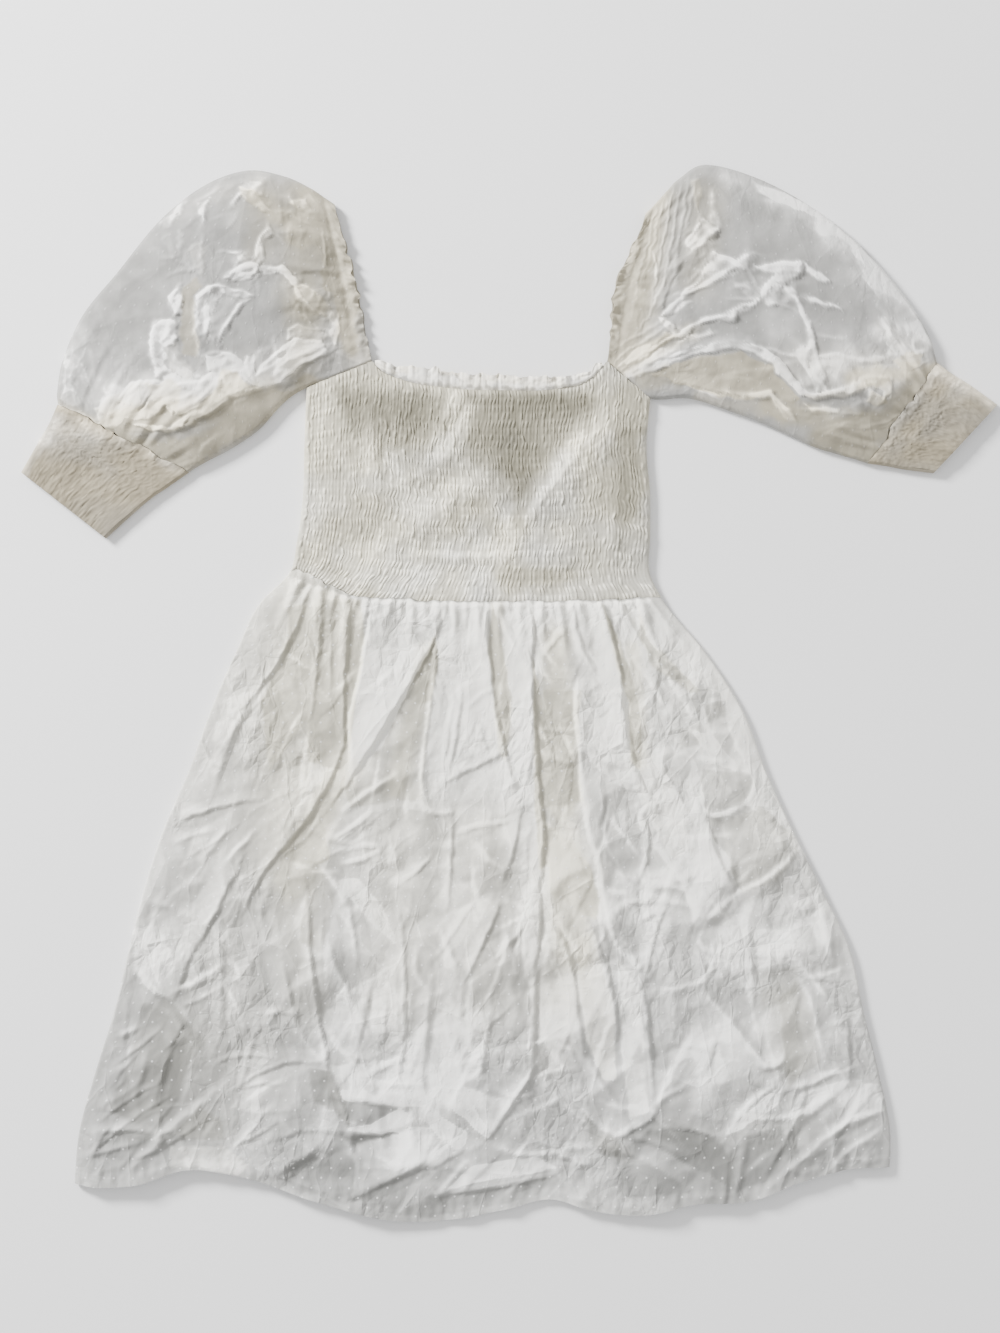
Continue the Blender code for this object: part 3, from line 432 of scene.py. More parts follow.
    (856, 1000, 862, 1030, 872, 1066, 5, 5, 2.0, 0.4),
    (606, 1146, 640, 1150, 676, 1178, 7, 5, 2.4, 0.2),
)
LEFT_SLEEVE_CREASES = (
    (157, 329, 152, 352, 162, 378, 6, 2, 4.0, 0.8),
    (157, 330, 170, 322, 184, 328, 2, 5, 3.0, 0.8),
    (162, 377, 178, 390, 200, 395, 5, 2.5, 3.2, 0.7),
    (160, 346, 176, 352, 196, 382, 4, 3, 2.4, 0.5),
    (165, 336, 174, 339, 182, 345, 3, 2, 1.6, 0.5),
    (186, 288, 170, 303, 180, 319, 2, 3, 2.6, 0.8),
    (178, 322, 184, 312, 187, 300, 2, 2, 1.8, 0.6),
    (201, 304, 197, 332, 204, 360, 6, 2, 3.6, 0.8),
    (200, 305, 212, 288, 228, 291, 2, 5, 3.0, 0.8),
    (226, 291, 243, 298, 257, 299, 2, 3, 2.4, 0.8),
    (222, 354, 226, 326, 244, 308, 2.5, 2, 2.4, 0.9),
    (236, 303, 244, 308, 253, 303, 2, 2, 1.6, 0.7),
    (206, 300, 214, 312, 210, 335, 3, 3, 1.6, 0.4),
    (222, 257, 242, 253, 251, 264, 2, 2.5, 2.0, 0.7),
    (228, 282, 242, 268, 258, 273, 3, 4, 2.6, 0.9),
    (236, 284, 250, 276, 262, 278, 2.5, 2.5, 1.8, 0.7),
    (258, 274, 285, 266, 300, 284, 3, 4, 3.0, 0.9),
    (300, 283, 312, 290, 322, 300, 3, 3, 2.2, 0.7),
    (257, 263, 259, 244, 271, 229, 2, 2, 2.2, 0.95),
    (271, 229, 276, 240, 290, 248, 2, 3, 1.8, 0.6),
    (262, 253, 258, 262, 250, 270, 2, 2, 1.4, 0.7),
    (100, 428, 116, 414, 141, 388, 3, 5, 2.6, 0.8),
    (104, 402, 126, 402, 142, 386, 2.5, 4, 2.0, 0.7),
    (142, 386, 156, 382, 170, 388, 2.5, 5, 2.2, 0.6),
    (170, 388, 190, 392, 214, 380, 3, 5, 2.4, 0.7),
    (180, 416, 205, 402, 232, 376, 4, 6, 3.2, 0.8),
    (232, 376, 244, 368, 254, 388, 3, 3, 2.2, 0.6),
    (138, 427, 162, 434, 190, 428, 10, 2.5, 5.0, 0.8),
    (188, 428, 215, 414, 240, 398, 12, 2.5, 5.0, 0.5),
    (238, 398, 265, 388, 292, 384, 12, 3, 4.6, 0.5),
    (290, 384, 305, 362, 334, 352, 12, 3, 4.6, 0.6),
    (334, 352, 352, 362, 374, 366, 5, 3, 3.0, 0.5),
    (207, 359, 232, 352, 248, 368, 2.5, 4, 2.4, 0.8),
    (250, 362, 252, 375, 256, 386, 2.5, 2.5, 2.0, 0.8),
    (262, 374, 272, 360, 300, 344, 3, 4, 2.6, 0.8),
    (276, 376, 300, 352, 330, 346, 3, 4, 2.4, 0.7),
    (300, 345, 316, 340, 330, 348, 3, 3, 2.0, 0.6),
    (298, 288, 302, 308, 326, 318, 3, 3, 2.4, 0.6),
    (325, 285, 334, 295, 330, 302, 2.5, 2.5, 2.0, 0.6),
    (335, 308, 345, 330, 336, 350, 3, 3, 2.6, 0.7),
    (308, 324, 322, 332, 338, 336, 3, 3, 2.2, 0.6),
    (322, 232, 330, 250, 326, 270, 2.5, 2, 2.0, 0.6),
    (240, 216, 238, 224, 232, 232, 2, 2, 1.4, 0.6),
    (244, 194, 238, 202, 232, 212, 2, 2, 1.4, 0.6),
    (244, 184, 256, 190, 265, 199, 2.5, 2.5, 1.6, 0.6),
    (262, 180, 265, 190, 263, 200, 2, 2, 1.4, 0.5),
    (203, 212, 204, 220, 208, 228, 2, 2, 1.4, 0.6),
    (184, 206, 176, 215, 171, 230, 2, 2, 1.6, 0.6),
    (196, 206, 206, 200, 222, 190, 2.5, 3, 1.6, 0.5),
    (284, 200, 296, 204, 306, 214, 2.5, 3, 1.8, 0.5),
    (292, 214, 300, 222, 312, 228, 2.5, 3, 1.8, 0.5),
    (62, 412, 80, 410, 100, 430, 3, 3, 2.0, 0.5),
    (64, 396, 78, 382, 92, 412, 3, 3, 1.8, 0.5),
    (66, 376, 80, 380, 92, 404, 3, 3, 1.6, 0.4),
    (76, 354, 88, 366, 95, 392, 3, 3, 1.6, 0.4),
    (82, 334, 96, 352, 98, 380, 4, 4, 1.4, 0.3),
    (92, 330, 130, 318, 178, 318, 7, 7, 1.0, 0.05),
    (160, 262, 186, 262, 204, 280, 5, 3, 1.6, 0.2),
    (170, 280, 190, 274, 204, 272, 4, 3, 1.6, 0.3),
    (188, 256, 192, 268, 202, 280, 2.5, 2.5, 1.6, 0.4),
    (204, 238, 206, 258, 206, 280, 2.5, 2, 1.8, 0.5),
    (110, 300, 140, 276, 168, 268, 7, 7, 1.0, 0.05),
)
RIGHT_SLEEVE_CREASES = (
    (712, 192, 708, 212, 720, 232, 2, 2, 2.0, 0.9),
    (720, 232, 706, 248, 686, 258, 2, 3, 2.2, 0.8),
    (700, 219, 692, 238, 684, 256, 3, 2, 2.2, 0.8),
    (700, 222, 712, 228, 719, 233, 2, 2, 1.4, 0.5),
    (712, 256, 722, 262, 737, 268, 2.5, 4, 2.4, 0.8),
    (712, 256, 700, 270, 688, 286, 3, 2, 2.0, 0.7),
    (737, 268, 712, 284, 690, 298, 3, 3, 2.4, 0.7),
    (745, 270, 712, 292, 674, 300, 3, 2, 2.2, 0.8),
    (690, 298, 674, 308, 661, 320, 3, 3, 2.2, 0.7),
    (735, 265, 748, 257, 762, 262, 2, 2, 1.8, 0.8),
    (742, 270, 752, 284, 757, 302, 2.5, 2.5, 2.2, 0.8),
    (749, 276, 774, 268, 801, 268, 3, 4, 2.8, 1.0),
    (801, 267, 808, 278, 827, 285, 2, 2.5, 2.2, 0.9),
    (757, 302, 768, 288, 778, 276, 3, 3, 2.6, 0.9),
    (770, 298, 780, 284, 801, 278, 3, 3, 2.4, 0.8),
    (775, 285, 785, 290, 790, 302, 3, 3, 2.4, 0.8),
    (760, 300, 772, 294, 785, 296, 3, 3, 2.0, 0.8),
    (728, 294, 742, 288, 756, 298, 2, 2, 1.6, 0.7),
    (724, 304, 740, 304, 754, 304, 2, 2, 1.6, 0.6),
    (763, 310, 786, 306, 797, 318, 2, 3, 2.0, 0.8),
    (798, 301, 820, 304, 840, 314, 2, 2.5, 2.2, 0.8),
    (792, 300, 806, 322, 812, 350, 2, 2.5, 2.4, 0.9),
    (812, 350, 816, 370, 826, 394, 2.5, 2.5, 2.4, 0.9),
    (680, 334, 700, 320, 732, 321, 2, 3, 2.2, 0.8),
    (730, 322, 745, 316, 757, 302, 2.5, 3, 2.0, 0.8),
    (662, 322, 676, 330, 688, 340, 3, 3, 2.0, 0.7),
    (690, 344, 700, 336, 716, 338, 3, 3, 1.6, 0.6),
    (613, 376, 640, 352, 690, 332, 2.5, 2.5, 2.2, 0.6),
    (610, 368, 634, 344, 672, 326, 2.5, 2.5, 2.0, 0.5),
    (614, 352, 640, 336, 664, 322, 3, 3, 1.8, 0.4),
    (622, 378, 660, 360, 702, 349, 5, 3, 3.6, 0.8),
    (700, 349, 738, 340, 760, 353, 6, 3.5, 4.0, 0.9),
    (758, 352, 778, 366, 790, 384, 4, 5, 3.6, 0.9),
    (788, 382, 800, 396, 822, 400, 4, 4, 3.2, 0.8),
    (752, 350, 775, 358, 802, 360, 3, 4, 2.4, 0.6),
    (800, 362, 830, 356, 860, 364, 3, 3, 2.2, 0.6),
    (858, 364, 872, 366, 884, 358, 2.5, 2.5, 1.8, 0.6),
    (800, 366, 810, 380, 826, 394, 3, 3, 2.4, 0.8),
    (806, 352, 800, 362, 806, 378, 3, 3, 2.2, 0.7),
    (788, 358, 796, 352, 806, 350, 2, 2, 1.6, 0.6),
    (808, 398, 838, 396, 860, 384, 3, 3, 2.6, 0.8),
    (860, 384, 876, 374, 888, 386, 3, 3, 2.4, 0.8),
    (888, 386, 892, 398, 884, 402, 2.5, 2.5, 2.0, 0.7),
    (862, 388, 870, 396, 880, 402, 2.5, 2.5, 1.8, 0.6),
    (798, 410, 818, 416, 842, 413, 2.5, 2.5, 1.8, 0.7),
    (655, 378, 700, 388, 745, 399, 9, 3, 3.2, 0.3),
    (716, 392, 748, 402, 770, 396, 4, 2.5, 2.6, 0.7),
    (770, 396, 784, 408, 794, 424, 3, 3, 2.4, 0.8),
    (880, 322, 886, 338, 902, 354, 3, 3, 2.4, 0.7),
    (892, 340, 900, 344, 912, 356, 3, 3, 2.2, 0.7),
    (886, 356, 905, 360, 925, 352, 3, 3, 2.4, 0.7),
    (900, 362, 912, 372, 925, 362, 3, 3, 2.0, 0.5),
    (812, 338, 824, 343, 845, 343, 2, 2, 1.4, 0.6),
    (664, 196, 655, 240, 640, 300, 2.5, 2.5, 1.8, 0.35),
    (672, 190, 664, 240, 650, 310, 2.5, 2.5, 1.8, 0.3),
    (680, 186, 672, 240, 660, 300, 2.5, 2.5, 2.0, 0.35),
    (688, 180, 682, 220, 674, 262, 2.5, 2.5, 2.0, 0.4),
    (696, 178, 690, 205, 684, 232, 2.5, 2.5, 1.8, 0.3),
    (656, 212, 646, 256, 634, 320, 2.5, 2.5, 1.8, 0.35),
    (672, 262, 660, 300, 636, 336, 2.5, 2.5, 1.8, 0.35),
    (652, 252, 660, 268, 652, 292, 2.5, 2.5, 2.4, 0.8),
    (860, 430, 900, 420, 930, 400, 4, 4, 1.6, 0.2),
)
BODICE_SWELLS = (
    (455, 396, 440, 430, 427, 465, 14, 12, 3.0, 0.0),
    (603, 428, 548, 486, 508, 556, 16, 14, 3.4, 0.0),
    (461, 452, 415, 484, 368, 498, 14, 18, 2.2, 0.0),
    (412, 556, 460, 560, 506, 556, 5, 8, 2.4, 0.0),
    (485, 472, 438, 519, 380, 554, 16, 14, 2.2, 0.0),
    (620, 472, 615, 519, 608, 566, 10, 10, 1.8, 0.0),
    (371, 403, 378, 449, 373, 496, 10, 8, 1.6, 0.0),
)

# Washes of tone, in the same pixels: a stroke of painted light where it is lighter and of painted
# shade where it is darker, and warmer or not.
# Each row: x and y of start, middle and end, left and right width, tone, warmth.
SKIRT_WASHES = (
    (556, 640, 556, 720, 560, 800, 13, 13, -0.13, 0.9),
    (562, 800, 566, 880, 574, 950, 15, 15, -0.05, 0.8),
    (332, 604, 332, 680, 330, 740, 11, 14, -0.14, 0.9),
    (338, 770, 316, 820, 290, 880, 16, 10, 0.02, 0.8),
    (290, 880, 300, 940, 310, 1000, 20, 20, -0.05, 0.3),
    (428, 654, 416, 710, 396, 786, 10, 10, -0.24, 0.5),
    (498, 606, 498, 660, 506, 736, 6, 6, -0.16, 0.5),
    (632, 650, 636, 700, 640, 760, 8, 8, -0.16, 0.7),
    (180, 1020, 172, 1060, 160, 1100, 22, 26, -0.26, 0.1),
    (100, 1060, 110, 1110, 110, 1150, 26, 26, -0.36, 0.0),
    (190, 1040, 180, 1090, 160, 1130, 20, 20, -0.20, 0.0),
    (150, 1130, 180, 1120, 210, 1100, 16, 16, -0.18, 0.0),
    (670, 1130, 700, 1144, 724, 1164, 14, 14, -0.26, 0.1),
    (604, 1142, 614, 1148, 624, 1150, 9, 9, -0.22, 0.2),
    (400, 664, 374, 712, 360, 768, 8, 12, 0.36, 0.0),
    (452, 610, 462, 660, 470, 700, 16, 16, 0.12, 0.0),
    (508, 720, 510, 780, 508, 836, 8, 10, 0.20, 0.0),
    (604, 700, 608, 726, 608, 752, 12, 12, 0.20, 0.0),
    (590, 612, 606, 650, 612, 690, 6, 8, 0.14, 0.0),
    (644, 612, 668, 650, 700, 680, 10, 8, 0.16, 0.0),
    (700, 750, 712, 790, 716, 846, 10, 14, 0.14, 0.0),
    (700, 640, 752, 720, 800, 840, 16, 12, 0.60, 0.0),
    (400, 610, 480, 616, 600, 612, 12, 12, 0.14, 0.0),
    (700, 1040, 760, 1050, 820, 1060, 26, 26, 0.16, 0.0),
    (130, 1000, 150, 1080, 130, 1140, 26, 26, -0.10, 0.0),
    (346, 890, 366, 910, 386, 932, 10, 6, 0.16, 0.0),
    (760, 820, 756, 850, 760, 876, 18, 18, -0.12, 0.1),
    (714, 702, 716, 710, 716, 718, 10, 10, -0.16, 0.0),
    (244, 620, 222, 670, 196, 730, 12, 9, 0.10, 0.0),
    (262, 1090, 262, 1120, 262, 1150, 24, 16, 0.08, 0.0),
    (330, 1074, 338, 1092, 344, 1110, 8, 7, -0.26, 0.1),
    (344, 1134, 352, 1138, 362, 1138, 6, 6, -0.20, 0.0),
    (440, 830, 456, 850, 470, 860, 18, 18, -0.06, 0.0),
    (820, 900, 846, 960, 862, 1040, 8, 10, 0.14, 0.0),
    (520, 1190, 470, 1200, 400, 1206, 12, 12, -0.12, 0.0),
    (780, 1000, 784, 1040, 790, 1060, 16, 16, -0.06, 0.3),
    (750, 1130, 780, 1140, 800, 1130, 18, 18, -0.10, 0.1),
    (262, 690, 256, 880, 230, 1060, 56, 60, -0.26, 0.2),
    (190, 980, 190, 1040, 190, 1100, 24, 24, -0.16, 0.0),
    (140, 1125, 180, 1130, 220, 1130, 18, 18, -0.26, 0.1),
    (300, 1110, 310, 1130, 300, 1160, 18, 18, -0.22, 0.0),
    (290, 1160, 340, 1176, 372, 1184, 18, 18, -0.60, 0.0),
    (720, 1170, 780, 1156, 830, 1134, 22, 22, -0.62, 0.0),
    (620, 1175, 660, 1180, 700, 1180, 16, 16, -0.34, 0.0),
    (720, 860, 740, 930, 730, 1000, 30, 30, 0.28, 0.0),
    (448, 1030, 440, 1080, 420, 1130, 32, 32, 0.52, 0.0),
    (560, 860, 560, 930, 550, 1050, 24, 24, 0.38, 0.2),
    (700, 1040, 706, 1070, 712, 1104, 20, 20, 0.44, 0.0),
    (625, 690, 630, 730, 632, 770, 14, 14, 0.52, 0.0),
    (500, 850, 504, 890, 506, 930, 12, 12, -0.40, 0.0),
    (390, 650, 380, 700, 370, 740, 18, 14, 0.18, 0.0),
    (834, 850, 850, 920, 866, 980, 11, 11, 0.34, 0.0),
    (302, 585, 300, 700, 294, 850, 34, 34, 0.0, 0.6),
    (400, 830, 410, 900, 400, 990, 38, 38, 0.0, 0.4),
    (484, 840, 490, 900, 490, 990, 38, 38, 0.0, 0.4),
    (570, 870, 570, 930, 566, 990, 26, 26, 0.0, 0.4),
)
BODICE_WASHES = (
    (352, 404, 386, 404, 428, 416, 16, 16, -0.30, 0.3),
    (484, 398, 530, 398, 580, 404, 10, 16, -0.36, 0.4),
    (506, 440, 520, 460, 516, 490, 22, 20, -0.36, 0.3),
    (630, 392, 632, 440, 626, 500, 12, 12, -0.22, 0.3),
    (490, 530, 510, 540, 524, 520, 10, 10, -0.14, 0.3),
    (500, 574, 540, 580, 570, 576, 7, 7, -0.14, 0.4),
    (380, 470, 430, 500, 470, 520, 26, 26, 0.14, -0.1),
    (360, 556, 420, 560, 480, 556, 18, 18, 0.16, -0.1),
    (482, 396, 462, 424, 438, 456, 6, 6, 0.28, 0.0),
    (578, 424, 552, 470, 510, 526, 9, 7, 0.26, 0.0),
    (456, 396, 446, 412, 430, 430, 5, 5, 0.20, 0.0),
    (600, 430, 556, 486, 506, 560, 12, 12, 0.14, 0.0),
    (328, 400, 322, 470, 312, 560, 14, 14, 0.14, 0.1),
    (310, 588, 460, 594, 640, 590, 14, 14, 0.16, -0.3),
    (350, 572, 430, 574, 500, 570, 12, 12, 0.10, -0.1),
    (500, 545, 530, 545, 560, 540, 16, 16, 0.18, 0.0),
    (410, 430, 424, 430, 436, 424, 10, 10, -0.16, 0.1),
    (310, 404, 440, 398, 620, 404, 32, 32, 0.04, 0.6),
    (345, 440, 352, 500, 350, 590, 34, 34, 0.0, 0.6),
)
LEFT_SLEEVE_WASHES = (
    (110, 448, 150, 452, 190, 450, 10, 16, 0.04, 1.0),
    (190, 450, 240, 432, 274, 408, 9, 12, 0.03, 1.0),
    (270, 408, 295, 398, 310, 386, 7, 9, 0.03, 0.9),
    (318, 205, 338, 245, 346, 300, 13, 13, 0.10, 0.6),
    (344, 290, 346, 320, 350, 350, 7, 7, 0.10, 0.6),
    (306, 203, 316, 200, 328, 208, 5, 5, 0.20, 0.5),
    (329, 252, 327, 272, 330, 292, 3.0, 3.0, -0.16, 0.5),
    (262, 205, 285, 220, 300, 240, 10, 10, 0.06, 0.4),
    (180, 215, 215, 195, 260, 180, 9, 9, 0.12, 0.1),
    (225, 190, 235, 205, 240, 225, 10, 10, 0.05, 0.1),
    (66, 400, 72, 370, 84, 335, 8, 8, 0.20, 0.0),
    (64, 414, 84, 422, 104, 436, 9, 7, 0.34, 0.4),
    (110, 400, 190, 394, 280, 366, 20, 18, 0.40, 0.1),
    (120, 424, 190, 424, 270, 400, 14, 12, 0.16, 0.9),
    (140, 290, 170, 250, 230, 225, 26, 26, -0.10, 0.0),
    (300, 200, 306, 240, 304, 300, 20, 20, 0.03, 0.6),
    (264, 196, 264, 226, 262, 256, 14, 14, 0.0, 0.4),
    (306, 316, 308, 345, 300, 372, 16, 16, 0.02, 0.45),
    (96, 330, 120, 300, 136, 262, 14, 14, -0.09, 0.0),
    (66, 340, 84, 300, 104, 262, 9, 9, 0.12, 0.0),
)
RIGHT_SLEEVE_WASHES = (
    (615, 372, 650, 350, 690, 336, 10, 8, 0.16, 0.4),
    (640, 382, 700, 375, 760, 378, 9, 9, 0.02, 0.6),
    (770, 402, 800, 424, 860, 428, 12, 12, 0.06, 0.8),
    (700, 400, 740, 408, 780, 415, 7, 7, 0.10, 0.4),
    (806, 203, 874, 256, 920, 318, 9, 7, 0.30, 0.0),
    (880, 330, 900, 345, 920, 350, 9, 9, 0.16, 0.1),
    (650, 200, 640, 270, 625, 340, 22, 22, 0.10, 0.7),
    (643, 250, 641, 268, 644, 286, 3.4, 3.4, -0.20, 0.6),
    (850, 380, 900, 375, 930, 370, 8, 8, 0.10, 0.6),
    (850, 440, 890, 420, 920, 390, 14, 14, 0.08, 0.8),
    (836, 240, 880, 290, 912, 350, 24, 24, 0.32, 0.0),
    (816, 442, 846, 450, 880, 460, 9, 9, -0.10, 0.7),
    (704, 200, 700, 240, 694, 282, 18, 18, 0.0, 0.4),
    (796, 368, 846, 380, 890, 372, 22, 22, 0.40, 0.2),
    (780, 330, 812, 344, 850, 340, 18, 18, 0.20, 0.0),
    (726, 176, 770, 196, 820, 224, 10, 10, 0.30, 0.0),
)
CUFF_WASHES = (
    (46, 438, 70, 424, 98, 432, 12, 9, 0.30, -0.4),
    (24, 472, 43, 445, 60, 418, 4, 5, 0.22, -0.5),
    (60, 462, 90, 452, 120, 458, 12, 12, -0.05, -0.2),
    (60, 500, 84, 520, 100, 534, 6, 6, -0.06, 0.1),
    (60, 480, 100, 480, 140, 474, 20, 20, 0.0, 0.25),
    (926, 361, 962, 383, 995, 404, 8, 8, 0.46, -0.8),
    (918, 370, 938, 384, 956, 397, 8, 8, 0.16, -0.1),
    (898, 434, 904, 436, 912, 437, 3, 3, 0.16, 0.0),
    (912, 447, 930, 456, 948, 452, 3, 3, -0.10, 0.1),
    (890, 420, 910, 404, 930, 410, 12, 12, -0.04, -0.3),
)

# Short creases strewn round a place, in the same pixels, most of them turned the same way.
# Each row: x, y, reach across and down, turn, its spread, count, length, height.
SKIRT_STREWN = (
    (470, 650, 170, 50, 90, 34, 22, 26, 1.0),
    (430, 760, 160, 90, 78, 42, 28, 30, 1.0),
    (620, 760, 120, 100, 100, 42, 24, 30, 1.0),
    (250, 760, 70, 110, 60, 30, 12, 36, 1.0),
    (360, 850, 60, 30, 20, 30, 9, 24, 1.4),
    (420, 960, 220, 90, 84, 40, 35, 38, 1.2),
    (680, 960, 140, 90, 100, 44, 24, 36, 1.3),
    (170, 1050, 80, 90, 66, 34, 19, 28, 1.4),
    (400, 1110, 150, 70, 30, 60, 25, 32, 1.4),
    (700, 1110, 170, 70, 50, 60, 28, 34, 1.4),
    (130, 1130, 50, 30, 20, 34, 10, 22, 1.4),
    (450, 1180, 140, 22, 8, 24, 10, 28, 1.2),
    (840, 960, 26, 100, 70, 40, 11, 20, 1.4),
    (540, 850, 70, 120, 84, 34, 13, 26, 0.9),
    (510, 1010, 60, 90, 84, 30, 11, 36, 1.2),
)
LEFT_STREWN = (
    (168, 350, 12, 26, 60, 40, 10, 12, 1.2),
    (212, 322, 10, 28, 80, 40, 10, 12, 1.2),
    (246, 274, 16, 12, 20, 50, 12, 11, 1.4),
    (312, 300, 16, 26, 60, 50, 16, 12, 1.4),
    (140, 404, 40, 16, 30, 40, 20, 14, 1.2),
    (220, 390, 34, 14, 40, 40, 16, 14, 1.2),
    (290, 362, 34, 14, 30, 34, 14, 15, 1.3),
    (300, 220, 20, 24, 30, 50, 18, 11, 1.2),
    (220, 205, 50, 24, 60, 30, 18, 14, 0.9),
    (76, 380, 12, 34, 60, 40, 14, 14, 1.2),
    (200, 445, 90, 16, 10, 30, 12, 22, 0.9),
)
RIGHT_STREWN = (
    (775, 290, 22, 16, 30, 60, 18, 11, 1.3),
    (720, 272, 30, 14, 40, 40, 14, 12, 1.2),
    (815, 378, 14, 20, 60, 50, 12, 12, 1.3),
    (700, 240, 14, 20, 70, 40, 10, 12, 1.2),
    (655, 350, 34, 16, 30, 20, 18, 18, 1.1),
    (870, 394, 24, 12, 20, 50, 14, 10, 1.3),
    (900, 350, 26, 18, 50, 40, 14, 12, 1.2),
    (655, 260, 22, 70, 76, 16, 26, 20, 1.2),
    (730, 380, 90, 14, 5, 24, 12, 24, 0.9),
    (840, 425, 60, 14, 10, 20, 12, 22, 0.9),
    (800, 200, 60, 12, 20, 30, 10, 20, 0.7),
)
